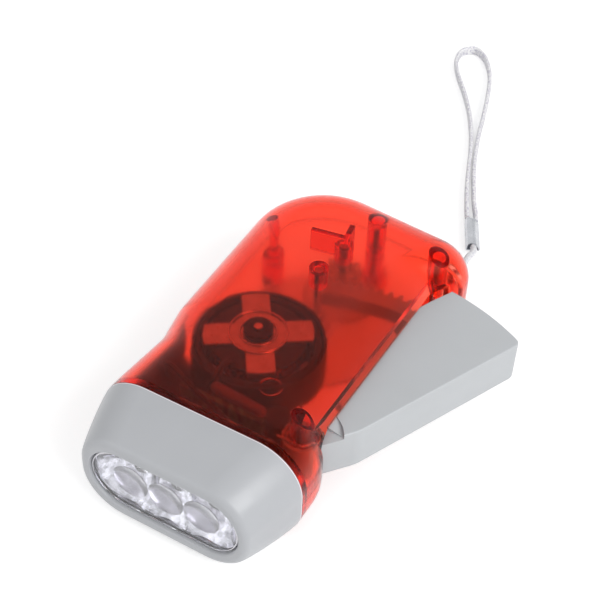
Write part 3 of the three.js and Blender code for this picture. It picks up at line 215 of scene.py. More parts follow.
# Camera, from a fit of the photograph's outlines
def make_camera():
    azimuth, elevation, roll = (math.radians(v) for v in (28.47, 43.72, 2.56))
    distance, focal, image_side, sensor = 326.29, 1362.09, 600, 36
    target = Vector((-6.73, 15.26, 13.0))
    back = Vector((
        math.sin(azimuth) * math.cos(elevation),
        -math.cos(azimuth) * math.cos(elevation),
        math.sin(elevation),
    ))
    right = Vector((math.cos(azimuth), math.sin(azimuth), 0))
    up = back.cross(right)
    turned_right = right * math.cos(roll) + up * math.sin(roll)
    turned_up = up * math.cos(roll) - right * math.sin(roll)
    data = bpy.data.cameras.new("camera")
    data.sensor_width = sensor
    data.lens = focal / image_side * sensor
    data.clip_start, data.clip_end = 0.01, 10
    camera = bpy.data.objects.new("camera", data)
    bpy.context.scene.collection.objects.link(camera)
    axes = Matrix((turned_right, turned_up, back)).transposed()
    camera.matrix_world = Matrix.Translation((target + back * distance) * MM) @ axes.to_4x4()
    bpy.context.scene.camera = camera


make_camera()


# Meshes
def link_mesh(name, mesh):
    obj = bpy.data.objects.new(name, mesh)
    bpy.context.scene.collection.objects.link(obj)
    return obj


def mesh_of(name, points, faces):
    mesh = bpy.data.meshes.new(name)
    mesh.from_pydata([(x * MM, y * MM, z * MM) for x, y, z in points], [], faces)
    mesh.validate()
    return mesh


@contextmanager
def edited(obj):
    """The object's mesh, open for changes."""
    work = bmesh.new()
    work.from_mesh(obj.data)
    yield work
    work.to_mesh(obj.data)
    work.free()


def solid(name, points, faces):
    """A closed piece whose faces all look outwards."""
    obj = link_mesh(name, mesh_of(name, points, faces))
    with edited(obj) as work:
        bmesh.ops.recalc_face_normals(work, faces=work.faces)
    return obj


def weld(obj):
    """Joins points that meet, and turns the faces outwards again."""
    with edited(obj) as work:
        bmesh.ops.remove_doubles(work, verts=work.verts, dist=WELD_REACH * MM)
        bmesh.ops.recalc_face_normals(work, faces=work.faces)
    return obj


def loft(name, rings, closed=False):
    """Stacked rings of equal length, capped at both ends unless the stack closes on itself."""
    count = len(rings[0])
    points = [p for ring in rings for p in ring]
    faces = []
    levels = len(rings) if closed else len(rings) - 1
    for level in range(levels):
        low = level * count
        high = (level + 1) % len(rings) * count
        for i in range(count):
            j = (i + 1) % count
            faces.append((low + i, low + j, high + j, high + i))
    if not closed:
        faces.append(tuple(range(count))[::-1])
        faces.append(tuple((len(rings) - 1) * count + i for i in range(count)))
    return solid(name, points, faces)


def prism(name, outline, z0, z1):
    return loft(name, [[(x, y, z) for x, y in outline] for z in (z0, z1)])


def block(name, x0, x1, y0, y1, z0, z1):
    return prism(name, [(x0, y0), (x1, y0), (x1, y1), (x0, y1)], z0, z1)


def around(sides):
    """The cosine and sine of even steps round a circle."""
    angles = [TAU * i / sides for i in range(sides)]
    return [(math.cos(a), math.sin(a)) for a in angles]


def quarter(steps):
    """The sine and cosine of even steps through a right angle."""
    angles = [math.pi / 2 * i / steps for i in range(steps + 1)]
    return [(math.sin(a), math.cos(a)) for a in angles]


def circle(x, y, radius, sides=48):
    return [(x + radius * cosine, y + radius * sine) for cosine, sine in around(sides)]


def rod(name, radius, x, y, z0, z1, sides=48):
    return prism(name, circle(x, y, radius, sides), z0, z1)


def turned(name, profile, x, y, sides=64):
    """A closed profile of (radius, z) spun about an upright axis."""
    rings = [[(x + r * cosine, y + r * sine, z) for r, z in profile] for cosine, sine in around(sides)]
    return loft(name, rings, closed=True)


def ring_profile(inner, outer, z0, z1):
    return [(inner, z0), (outer, z0), (outer, z1), (inner, z1)]


def combine(obj, operation, tools):
    """Joins tools to obj or cuts them from it, and removes them."""
    for tool in tools:
        modifier = obj.modifiers.new("boolean", "BOOLEAN")
        modifier.operation = operation
        modifier.solver = "MANIFOLD"
        modifier.object = tool
    settle(obj)
    for tool in tools:
        bpy.data.objects.remove(tool, do_unlink=True)
    return obj


def settle(obj):
    """Applies every modifier."""
    graph = bpy.context.evaluated_depsgraph_get()
    made = bpy.data.meshes.new_from_object(obj.evaluated_get(graph))
    old = obj.data
    obj.modifiers.clear()
    obj.data = made
    made.name = obj.name
    bpy.data.meshes.remove(old)


def join(obj, *tools):
    return combine(obj, "UNION", tools)


def cut(obj, *tools):
    return combine(obj, "DIFFERENCE", tools)


def overlap(obj, *tools):
    return combine(obj, "INTERSECT", tools)


def smooth(obj, sharp_degrees):
    """Smooth shading with sharp edges kept, and big faces left flat."""
    limit = math.radians(sharp_degrees)
    with edited(obj) as work:
        for edge in work.edges:
            edge.smooth = len(edge.link_faces) == 2 and edge.calc_face_angle(0) < limit
        for face in work.faces:
            face.smooth = True
    modifier = obj.modifiers.new("even shading", "WEIGHTED_NORMAL")
    modifier.keep_sharp = True
    modifier.weight = 80
    return obj


def soften(obj, width, segments=3, degrees=30):
    """Small rounded edges."""
    modifier = obj.modifiers.new("edges", "BEVEL")
    modifier.width = width * MM
    modifier.segments = segments
    modifier.limit_method = "ANGLE"
    modifier.angle_limit = math.radians(degrees)
    modifier.harden_normals = False
    settle(obj)
    return obj


# Rounded outlines, the same as the solids' but with finer steps
def turn_at(corners, i):
    before, here, after = corners[i - 1], corners[i], corners[(i + 1) % len(corners)]
    in_angle = math.atan2(here[1] - before[1], here[0] - before[0])
    out_angle = math.atan2(after[1] - here[1], after[0] - here[0])
    turn = math.atan2(math.sin(out_angle - in_angle), math.cos(out_angle - in_angle))
    return in_angle, turn


def arc_steps(corners, step_degrees):
    steps = []
    for i, (_, _, radius) in enumerate(corners):
        turn = abs(turn_at(corners, i)[1])
        steps.append(0 if radius == 0 else max(1, round(turn / math.radians(step_degrees))))
    return steps


def rounded_outline(corners, steps, straight=None):
    points = []
    for i, (x, y, radius) in enumerate(corners):
        in_angle, turn = turn_at(corners, i)
        if steps[i] == 0:
            points.append((x, y))
            continue
        tangent = radius * math.tan(abs(turn) / 2)
        side = math.copysign(1, turn)
        start_x = x - math.cos(in_angle) * tangent
        start_y = y - math.sin(in_angle) * tangent
        centre_x = start_x - math.sin(in_angle) * radius * side
        centre_y = start_y + math.cos(in_angle) * radius * side
        for step in range(steps[i] + 1):
            angle = in_angle + turn * step / steps[i] - math.pi / 2 * side
            points.append((centre_x + math.cos(angle) * radius, centre_y + math.sin(angle) * radius))
    if straight is None:
        return points
    filled = []
    for i, (x, y) in enumerate(points):
        next_x, next_y = points[(i + 1) % len(points)]
        pieces = straight[i]
        filled += [(x + (next_x - x) * k / pieces, y + (next_y - y) * k / pieces) for k in range(pieces)]
    return filled


def offset_corners(corners, distance):
    moved = []
    for i, (x, y, radius) in enumerate(corners):
        in_angle, turn = turn_at(corners, i)
        reach = distance / math.cos(turn / 2)
        inward = in_angle + turn / 2 + math.pi / 2
        new_radius = 0 if radius == 0 else max(radius - distance * math.copysign(1, turn), 0)
        moved.append((x + math.cos(inward) * reach, y + math.sin(inward) * reach, new_radius))
    return moved


def arc(x, y, radius, start, end, steps):
    """Points on an arc; angles are counted from +Y towards +X."""
    return [polar((x, y), radius, start + (end - start) * i / steps) for i in range(steps + 1)]


# Surfaces
class Look:
    """A Principled material and short ways to drive its sockets."""

    def __init__(self, name, **sockets):
        self.material = bpy.data.materials.new(name)
        self.material.use_nodes = True
        self.tree = self.material.node_tree
        self.shader = self.tree.nodes["Principled BSDF"]
        for socket, value in sockets.items():
            self.shader.inputs[socket.replace("_", " ")].default_value = value
        self.place = self.tree.nodes.new("ShaderNodeTexCoord").outputs["Object"]

    def node(self, kind, inputs=(), **settings):
        made = self.tree.nodes.new("ShaderNode" + kind)
        for key, value in settings.items():
            setattr(made, key, value)
        for key, value in dict(inputs).items():
            if isinstance(value, bpy.types.NodeSocket):
                self.tree.links.new(value, made.inputs[key])
            else:
                made.inputs[key].default_value = value
        return made

    def noise(self, size, detail=4, stretch=(1, 1, 1)):
        """Noise whose features measure about size millimetres."""
        scaled = self.node("Mapping", {"Vector": self.place, "Scale": stretch})
        vector = scaled.outputs["Vector"]
        made = self.node("TexNoise", {"Vector": vector, "Scale": 1 / (size * MM), "Detail": detail})
        return made.outputs["Fac"]

    def spread(self, source, low, high, start=0.3, end=0.7):
        inputs = {"Value": source, "From Min": start, "From Max": end, "To Min": low, "To Max": high}
        return self.node("MapRange", inputs).outputs["Result"]

    def drive(self, socket, source):
        self.tree.links.new(source, self.shader.inputs[socket])

    def roughen(self, source, low, high):
        self.drive("Roughness", self.spread(source, low, high))

    def tint(self, source, first, second, start=0.3, end=0.7):
        mix = self.node("Mix", {"Factor": self.spread(source, 0, 1, start, end)}, data_type="RGBA")
        mix.inputs[6].default_value = first
        mix.inputs[7].default_value = second
        self.drive("Base Color", mix.outputs[2])

    def bump(self, source, depth, strength=1.0):
        """Relief of about depth millimetres."""
        made = self.node("Bump", {"Height": source, "Distance": depth * MM, "Strength": strength})
        earlier = self.shader.inputs["Normal"].links
        if earlier:
            self.tree.links.new(earlier[0].from_socket, made.inputs["Normal"])
        self.drive("Normal", made.outputs["Normal"])


FROSTING = "frosting"


def shade(colour, factor):
    return [min(1, v * factor) for v in colour[:3]] + [1.0]


def shell_red():
    """Clear red plastic, darker where it is thicker: polished outside, and frosted where its faces say so.
    The polished faces' reflections are tinted nearly black, a painted shade as of a dark room above.
    """
    look = Look("shell_red", Base_Color=(0.985, 0.5, 0.42, 1), IOR=1.49, Transmission_Weight=1.0)
    frosting = look.node("Attribute", attribute_name=FROSTING).outputs["Fac"]
    polished = look.spread(look.noise(size=9, detail=5), 0.05, 0.1)
    frosted = look.spread(look.noise(size=9, detail=5), 0.16, 0.21)
    look.drive("Roughness", look.spread(frosting, polished, frosted, 0, 1))
    # Painted shade in the reflections: polished faces reflect at a twentieth, faces frosted by a tenth or
    # more reflect fully
    look.drive("Specular Tint", look.spread(frosting, 0.05, 1, 0, 0.1))
    look.bump(look.noise(size=0.5, detail=3), depth=0.004)
    depth = look.node("VolumeAbsorption", {"Color": (0.94, 0.25, 0.04, 1), "Density": 560})
    output = look.tree.nodes["Material Output"]
    look.tree.links.new(depth.outputs["Volume"], output.inputs["Volume"])
    return look.material


def moulded(name, base, roughness=0.42, grain=0.22, relief=0.006):
    """Fine-grained moulded plastic with faint flow marks."""
    look = Look(name, IOR=1.5)
    look.tint(look.noise(size=14, detail=6), shade(base, 0.975), shade(base, 1.02))
    look.roughen(look.noise(size=5, detail=6), roughness - 0.05, roughness + 0.06)
    look.bump(look.noise(grain, detail=2), relief)
    look.bump(look.noise(size=22, detail=2), depth=0.02, strength=0.5)
    return look.material


def metal(name, base, roughness=0.3, stretch=(1, 1, 1), grain=0.3):
    look = Look(name, Metallic=1.0)
    look.tint(look.noise(size=3, detail=5, stretch=stretch), shade(base, 0.86), shade(base, 1.05))
    look.roughen(look.noise(size=1.2, detail=6, stretch=stretch), roughness * 0.75, roughness * 1.3)
    look.bump(look.noise(grain, detail=4, stretch=stretch), depth=0.004)
    return look.material


def clear(name, roughness=0.02, tint=(0.97, 0.98, 1.0, 1.0), ior=1.49, clarity=1.0):
    look = Look(name, Base_Color=tint, IOR=ior, Transmission_Weight=clarity)
    look.roughen(look.noise(size=3, detail=6), roughness, roughness * 2.2)
    look.bump(look.noise(size=4, detail=3), depth=0.004)
    return look.material


def chrome():
    look = Look("reflector_chrome", Metallic=1.0)
    look.tint(look.noise(size=1.5, detail=6), (0.3, 0.295, 0.33, 1), (0.68, 0.67, 0.72, 1), 0.36, 0.6)
    look.roughen(look.noise(size=2, detail=5), 0.05, 0.13)
    look.bump(look.noise(size=1.6, detail=3), depth=0.06)
    return look.material


def nylon():
    look = Look("white_nylon", IOR=1.25, Transmission_Weight=0.92)
    look.tint(look.noise(size=4, detail=5), rgb("f1ece2"), rgb("faf8f2"))
    look.roughen(look.noise(size=1, detail=5), 0.38, 0.52)
    look.bump(look.noise(size=0.3, detail=3), depth=0.01)
    return look.material


def circuit_green():
    look = Look("board_green", IOR=1.5, Coat_Weight=0.4)
    look.tint(look.noise(size=1.1, detail=0, stretch=(1, 1, 0.25)), rgb("1f4a2c"), rgb("3f7a48"), 0.48, 0.52)
    look.roughen(look.noise(size=0.8, detail=4), 0.3, 0.5)
    look.bump(look.noise(size=1.1, detail=0, stretch=(1, 1, 0.25)), depth=0.03)
    return look.material


def ferrite():
    look = Look("magnet_ferrite", IOR=1.6)
    look.tint(look.noise(size=0.8, detail=6), rgb("161517"), rgb("2b292b"))
    look.roughen(look.noise(size=0.5, detail=5), 0.55, 0.75)
    look.bump(look.noise(size=0.25, detail=5), depth=0.03)
    return look.material


def woven(name, first, second):
    """Polyester yarn: fine fibres over the woven relief that the mesh has."""
    look = Look(name, Sheen_Weight=0.4, Sheen_Roughness=0.4)
    look.tint(look.noise(size=0.5, detail=6), first, second, 0.38, 0.58)
    look.roughen(look.noise(size=0.4, detail=4), 0.65, 0.85)
    look.bump(look.noise(size=0.09, detail=5), depth=0.05)
    return look.material


SHELL_RED = shell_red()
HEAD_GREY = moulded("head_grey", rgb("b4b6ba"), 0.33)
# Near-white grey painted on the bezel's rear rim as a highlight line
HEAD_PAINTED_HIGHLIGHT = moulded("head_grey_painted_highlight", rgb("e8e4e8"), 0.3)
LEVER_GREY = moulded("lever_grey", rgb("bec1c4"))
LENS_CLEAR = clear("lens_clear")
MAGNIFIER = clear("lens_magnifier", 0.12, (0.985, 0.97, 1, 1), clarity=0.9)
# Near-white painted highlight on the clear lens's rounded front edge
LENS_PAINTED_HIGHLIGHT = moulded("lens_painted_highlight", rgb("f6f4f9"), 0.2)
LED_CLEAR = clear("led_epoxy", 0.03, (0.98, 0.98, 1.0, 1), 1.52)
CHROME = chrome()
NYLON = nylon()
BOARD = circuit_green()
FERRITE = ferrite()
STEEL = metal("pole_steel", rgb("c6c8ca"), 0.34)
AXLE = metal("axle_steel", rgb("c3c6c9"), 0.2, (1, 1, 0.15))
SPRING = metal("spring_steel", rgb("b4b6b8"), 0.25)
SCREW = metal("screw_zinc", rgb("b9b7ae"), 0.32)
LEADFRAME = metal("led_leadframe", rgb("d9d9da"), 0.2)
BLACKENED = metal("core_blackened", rgb("39383b"), 0.4)
COPPER = metal("enamelled_copper", rgb("c0703c"), 0.25)
CELL = moulded("cell_sleeve", rgb("26303a"), 0.3, 0.5, 0.004)
SLEEVE = moulded("wire_sleeve", rgb("6c6164"), 0.35)
# Dark sheet colour that paints the shade inside the head end
PAINTED_SHADE_SHEET = moulded("head_painted_shade", rgb("5f4648"), 0.5)
CRIMP = metal("crimp_nickel", rgb("c4c6cb"), 0.26, (1, 1, 0.2), 0.5)
BLACK = moulded("black_plastic", rgb("1b1b1d"), 0.45, 0.3, 0.008)
FLYWHEEL_BLACK = moulded("flywheel_black", rgb("0d0c0c"), 0.4, 0.3, 0.008)
PHOSPHOR = moulded("led_phosphor", rgb("e6d27a"), 0.6, 0.1, 0.01)
YARN = woven("strap_yarn", rgb("ceccd9"), rgb("ffffff"))


def finish(obj, *materials):
    obj.data.materials.clear()
    for material in materials:
        obj.data.materials.append(material)
    return obj


def dress(obj, look=None, node_name=None, sharp=32, body="housing"):
    """Joins a piece to its body and gives it the finish passed in; if a solid is named, hides that solid,
    which the piece stands in for.
    """
    if look:
        finish(obj, look)
    smooth(obj, sharp)
    if body:
        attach(obj, body)
    if node_name:
        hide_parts(node_name)
    return obj


# Wrist strap: its routes are counted from the head joint
STRAP_WIDTH = 2.9
STRAP_THICKNESS = 1.3
TETHER_RADIUS = 0.85
CRIMP_WIDTH = 3.8
CRIMP_HEIGHT = 2.7
STRAP_FLOOR = 0.15
STRAP_EDGE_Z = STRAP_FLOOR + STRAP_WIDTH / 2
TETHER_ROUTE = [
    (21.4, 78.5, 13.5), (21.4, 82, 13.5), (21.3, 85.6, 13.4), (20.7, 89, 12.1), (19.9, 92.6, 10),
    (19.2, 96.2, 7.7), (18.4, 99.6, 5.4), (17.5, 102.6, 3.4), (16.7, 104.4, 2.2), (16.2, 105.4, 1.7),
]
LOOP_ROUTE = [
    (10.1, 114.9), (8.8, 117.2), (6.7, 121.6), (4.2, 127.1), (1.1, 134.8), (-2.5, 143.9),
    (-6.7, 152.9), (-11.3, 161.1), (-16.4, 168.6), (-21.7, 175.7), (-25.2, 182), (-25.7, 187.8),
    (-22.8, 190.7), (-19.1, 188.9), (-15.5, 184.5), (-12.4, 178.8), (-9.1, 170), (-5.8, 159.7),
    (-3.5, 151.8), (-1, 144.4), (2.7, 134.9), (6.1, 127.5), (9, 121.6), (11.2, 117.8), (12.3, 115.7),
]


def from_head(route, z=None):
    return [Vector((at[0], HEAD_JOINT_Y + at[1], at[2] if z is None else z)) for at in route]


def smooth_route(points, spacing):
    """A centripetal curve through the points, in even steps."""
    fine = []
    ends = [points[0] * 2 - points[1]] + points + [points[-1] * 2 - points[-2]]
    for a, b, c, d in zip(ends, ends[1:], ends[2:], ends[3:]):
        t1 = (b - a).length ** 0.5
        t2 = t1 + (c - b).length ** 0.5
        t3 = t2 + (d - c).length ** 0.5
        pieces = 24
        for i in range(pieces):
            t = t1 + (t2 - t1) * i / pieces
            ab = a * ((t1 - t) / t1) + b * (t / t1)
            bc = b * ((t2 - t) / (t2 - t1)) + c * ((t - t1) / (t2 - t1))
            cd = c * ((t3 - t) / (t3 - t2)) + d * ((t - t2) / (t3 - t2))
            abc = ab * ((t2 - t) / t2) + bc * (t / t2)
            bcd = bc * ((t3 - t) / (t3 - t1)) + cd * ((t - t1) / (t3 - t1))
            fine.append(abc * ((t2 - t) / (t2 - t1)) + bcd * ((t - t1) / (t2 - t1)))
    fine.append(points[-1])
    lengths = [0]
    for a, b in zip(fine, fine[1:]):
        lengths.append(lengths[-1] + (b - a).length)
    steps = max(2, round(lengths[-1] / spacing))
    even, at = [], 0
    for i in range(steps + 1):
        wanted = lengths[-1] * i / steps
        while at < len(lengths) - 2 and lengths[at + 1] < wanted:
            at += 1
        share = (wanted - lengths[at]) / max(lengths[at + 1] - lengths[at], TINY)
        even.append(fine[at].lerp(fine[at + 1], share))
    return even


def swept(name, line, section):
    """A tube on a line; section(along) gives its ring there as (sideways, upwards) pairs."""
    rings = []
    along = 0
    for i, point in enumerate(line):
        ahead = (line[min(i + 1, len(line) - 1)] - line[max(i - 1, 0)]).normalized()
        side = ahead.cross(Vector((0, 0, 1))).normalized()
        up = side.cross(ahead)
        if i:
            along += (point - line[i - 1]).length
        rings.append([tuple(point + side * s + up * u) for s, u in section(along)])
    return loft(name, rings)


def tether_section(along):
    """Three strands laid round each other."""
    strands, sides, lay, core, bulge = 3, 30, 5.2, 0.8, 0.7
    ring = []
    for i, (cosine, sine) in enumerate(around(sides)):
        turn = TAU * (i / sides - along / lay)
        radius = TETHER_RADIUS * (core + (1 - core) * abs(math.cos(turn * strands / 2)) ** bulge)
        ring.append((radius * cosine, radius * sine))
    return ring


def strap_section(along):
    """A flat woven band standing on its edge, with slanting yarns across both faces."""
    sides, yarn, slant, relief, edge_relief = 40, 0.95, 1.5, 0.09, 0.6
    face_bend, edge_bend = 0.55, 0.8
    half_width, half_thickness = STRAP_WIDTH / 2 - relief, STRAP_THICKNESS / 2 - relief
    ring = []
    for cosine, sine in around(sides):
        side = half_thickness * math.copysign(abs(cosine) ** face_bend, cosine)
        up = half_width * math.copysign(abs(sine) ** edge_bend, sine)
        chevron = along + slant * abs(up) * math.copysign(1, cosine)
        wave = relief * math.sin(TAU * chevron / yarn)
        ring.append((side + wave * cosine, up + wave * sine * edge_relief))
    return ring


TETHER_STEP = 0.2
LOOP_STEP = 0.16
tether_line = smooth_route(from_head(TETHER_ROUTE), TETHER_STEP)
loop_line = smooth_route(from_head(LOOP_ROUTE, STRAP_EDGE_Z), LOOP_STEP)
tether = swept("strap_tether_cord", tether_line, tether_section)
loop = swept("strap_loop_band", loop_line, strap_section)


def make_crimp():
    """A folded metal clamp with its seam and the strap's ends inside."""
    wall, edge, corner, mouth_depth = 0.38, 0.12, 0.35, 2.2
    dent_reach, dent_depth, seam_half, seam_share = 0.25, 0.09, 0.12, 0.6
    outline_shares = [(-0.5, 0), (0.5, 0), (0.5, 0.3), (0.16, 1), (-0.4, 1), (-0.5, 0.6)]
    start, end = tether_line[-1], (loop_line[0] + loop_line[-1]) / 2
    flat = Vector((end.x - start.x, end.y - start.y, 0))
    length = flat.length - 2 * GAP
    corners = [(x * CRIMP_WIDTH, z * CRIMP_HEIGHT, corner) for x, z in outline_shares]
    steps = arc_steps(corners, 15)
    rounding = [(0, edge), (edge * 0.3, edge * 0.3), (edge, 0)]
    levels = rounding + [(length / 2 - dent_reach, 0), (length / 2, dent_depth), (length / 2 + dent_reach, 0)]
    levels += [(length - y, inset) for y, inset in reversed(rounding)]
    rings = []
    for y, inset in levels:
        rings.append([(x, y, z) for x, z in rounded_outline(offset_corners(corners, inset), steps)])
    body = loft("strap_crimp_clamp", rings)
    inner = rounded_outline(offset_corners(corners, wall), steps)
    for y0, y1 in ((-OVERRUN, mouth_depth), (length - mouth_depth, length + OVERRUN)):
        body = cut(body, loft("mouth", [[(x, y, z) for x, z in inner] for y in (y0, y1)]))
    seam_floor, seam_top = CRIMP_HEIGHT - wall * seam_share, CRIMP_HEIGHT + OVERRUN
    body = cut(body, block("seam", -seam_half, seam_half, -OVERRUN, length + OVERRUN, seam_floor, seam_top))
    turn = Matrix.Rotation(math.atan2(flat.y, flat.x) - math.pi / 2, 4, "Z")
    origin = start + flat.normalized() * GAP
    place = Matrix.Translation(Vector((origin.x, origin.y, STRAP_FLOOR)) * MM)
    body.data.transform(place @ turn)
    return body


crimp = dress(make_crimp(), CRIMP, "strap_crimp", sharp=25)
dress(tether, YARN, "strap_tether", sharp=60)
dress(loop, YARN, "strap_loop", sharp=60)


# Housing shells
# Each corner's place, rounding, move in to the flat, and rounding there, as shares
HOUSING_SHARES = [
    ((1, 0), 0, (-1, 0), 0),
    ((1, 0.092), 1.07, (-1, -0.19), 0.07),
    ((0.892, 0.17), 1.25, (-1, -0.19), 2.25),
    ((0.892, 0.786), 0.62, (-1, -0.13), 0.27),
    ((1.066, 0.866), 0.22, (-1.15, -0.38), 0.18),
    ((1.066, 0.977), 0.71, (-1.01, -0.9), 0.11),
    ((-1.106, 1.031), 1.82, (1.045, -1.107), 0.82),
    ((-1.024, 0.339), 1.34, (1, 0.04), 0.36),
    ((-0.944, 0.22), 1.07, (1, 0.04), 2.07),
    ((-1, 0.03), 2.68, (1, 0), 1.68),
    ((-1, 0), 0, (1, 0), 0),
]
FRONT_CORNERS = (0, len(HOUSING_SHARES) - 1)


def housing_corners():
    corners = []
    for i, (place, corner, _, _) in enumerate(HOUSING_SHARES):
        front = OUTLINE_OVERRUN if i in FRONT_CORNERS else 0
        x = place[0] * HEAD_WIDTH / 2
        y = HEAD_JOINT_Y + place[1] * BODY_LENGTH - front
        corners.append((x, y, corner * EDGE_RADIUS))
    return corners


def flat_corners():
    moved = []
    for (x, y, _), (_, _, flat, flat_corner) in zip(housing_corners(), HOUSING_SHARES):
        moved.append((x + flat[0] * EDGE_RADIUS, y + flat[1] * EDGE_RADIUS, flat_corner * EDGE_RADIUS))
    return moved


def housing_form(name, inset, round_steps=12, step_degrees=5, spacing=6):
    corners = housing_corners()
    steps = arc_steps(corners, step_degrees)
    plain = rounded_outline(corners, steps)
    straight = []
    for i, (x, y) in enumerate(plain):
        next_x, next_y = plain[(i + 1) % len(plain)]
        straight.append(max(1, round(math.hypot(next_x - x, next_y - y) / spacing)))
    widest = rounded_outline(offset_corners(corners, inset), steps, straight)
    flat = rounded_outline(flat_corners(), steps, straight)
    radius = EDGE_RADIUS - inset
    bends = quarter(round_steps)
    levels = [(EDGE_RADIUS - radius * sine, 1 - cosine) for sine, cosine in reversed(bends)]
    levels += [(BODY_HEIGHT - EDGE_RADIUS + radius * sine, 1 - cosine) for sine, cosine in bends]
    rings = []
    for z, share in levels:
        rings.append([
            (wx + (fx - wx) * share, wy + (fy - wy) * share, z)
            for (wx, wy), (fx, fy) in zip(widest, flat)
        ])
    return loft(name, rings)


# The bezel's form: it narrows forwards along a superellipse, the sides more evenly than the top
BEZEL_FRONT_Y = HEAD_JOINT_Y - BEZEL_LENGTH
MIDDLE_Z = BODY_HEIGHT / 2


def bezel_ring(y, inset, corner_steps=16):
    along = min(1, max(0, (HEAD_JOINT_Y - y) / BEZEL_LENGTH))
    side_taper, taper = (1 - (1 - along ** bend) ** (1 / bend) for bend in (BEZEL_SIDE_BEND, BEZEL_TOP_BEND))
    half_width = HEAD_WIDTH / 2 - BEZEL_SIDE_TAPER * side_taper - inset
    half_height = BODY_HEIGHT / 2 - BEZEL_TOP_TAPER * taper - inset
    radius = EDGE_RADIUS + (BEZEL_FRONT_RADIUS - EDGE_RADIUS) * taper - inset
    signs = [(1, -1), (1, 1), (-1, 1), (-1, -1)]
    corners = [(sx * half_width, sz * half_height, radius) for sx, sz in signs]
    return [(x, y, MIDDLE_Z + z) for x, z in rounded_outline(corners, [corner_steps] * len(signs))]


def bezel_form(name, inset, front_y, back_y, levels=34, rim=0, nose=0):
    """The bezel's form, moved inwards; rim chamfers its rear edge and nose rounds its front edge."""
    ys = [HEAD_JOINT_Y - BEZEL_LENGTH * sine for sine, _ in quarter(levels)]
    rings = [bezel_ring(y, inset) for y in ys if y > front_y + max(nose, WELD_REACH)]
    for sine, cosine in quarter(6) if nose else [(1, 1)]:
        rings.append(bezel_ring(front_y + nose * (1 - sine), inset + nose * (1 - cosine)))
    if rim:
        edge = bezel_ring(HEAD_JOINT_Y, inset + rim)
        rings[0] = [(x, y - rim, z) for x, y, z in rings[0]]
        # This ring bounds the rear band that is painted as a highlight
        rings.insert(1, bezel_ring(HEAD_JOINT_Y - BEZEL_HIGHLIGHT_DEPTH, inset))
        rings.insert(0, edge)
    if back_y > HEAD_JOINT_Y:
        rings.insert(0, [(x, back_y, z) for x, _, z in bezel_ring(HEAD_JOINT_Y, inset)])
    return loft(name, rings)


def slab(y0, y1, z0=-OVERRUN, z1=BODY_HEIGHT + OVERRUN):
    return block("slab", -FAR, FAR, y0, y1, z0, z1)


# How far faces are frosted, from polished to full
POLISHED = 0
EDGE_FROST = 0.1
POST_FROST = 0.5
FROSTED = 1


def frost(obj, level):
    """Marks how far every face is frosted."""
    faces = obj.data.attributes.new(FROSTING, "FLOAT", "FACE")
    for face in faces.data:
        face.value = level
    return obj


def strap_window():
    low, high = PARTING_Z - WINDOW_HALF_HEIGHT, PARTING_Z + WINDOW_HALF_HEIGHT
    return frost(block("window", WINDOW_LEFT_X, WINDOW_RIGHT_X, WINDOW_FRONT_Y, FAR, low, high), EDGE_FROST)


def hollow_housing():
    neck_inset = BEZEL_WALL + GAP
    neck_front, neck_back = HEAD_JOINT_Y - NECK_LENGTH, HEAD_JOINT_Y + NECK_COLLAR
    outer = frost(overlap(housing_form("housing", 0), slab(HEAD_JOINT_Y, FAR)), POLISHED)
    neck = frost(bezel_form("neck", neck_inset, neck_front, neck_back), EDGE_FROST)
    hollow = frost(overlap(housing_form("hollow", WALL), slab(neck_back, FAR)), FROSTED)
    neck_bore = bezel_form("neck_bore", neck_inset + NECK_WALL, neck_front - GAP, neck_back + GAP)
    slot_outline = [(PIVOT_X, SLOT_FRONT_Y), (FAR, SLOT_FRONT_Y)]
    slot_outline += arc(PIVOT_X, PIVOT_Y, LEVER_REACH + 2 * GAP, SLOT_DEGREES, 0, 40)
    slot = frost(prism("slot", slot_outline, LEVER_BOTTOM - GAP, SLOT_TOP), EDGE_FROST)
    lip_bottom = SLOT_TOP - LIP_SINK
    lip = [(LIP_INNER_X, lip_bottom), (LIP_OUTER_X, lip_bottom), (LIP_INNER_X, LIP_TOP)]
    undercut = loft("undercut", [[(x, y, z) for x, z in lip] for y in (SLOT_FRONT_Y, LIP_REAR_Y)])
    frost(undercut, EDGE_FROST)
    return cut(join(outer, neck), hollow, frost(neck_bore, FROSTED), slot, undercut, strap_window())


INNER_TOP = BODY_HEIGHT - WALL
TOP_SHELL_Z = PARTING_Z + SEAM / 2
BOTTOM_SHELL_Z = PARTING_Z - SEAM / 2


def bushing(name, radius, bore_radius, place, ends, bore_ends):
    """A round boss with a bore."""
    return cut(rod(name, radius, *place, *ends), rod("bore", bore_radius, *place, *bore_ends, 24))


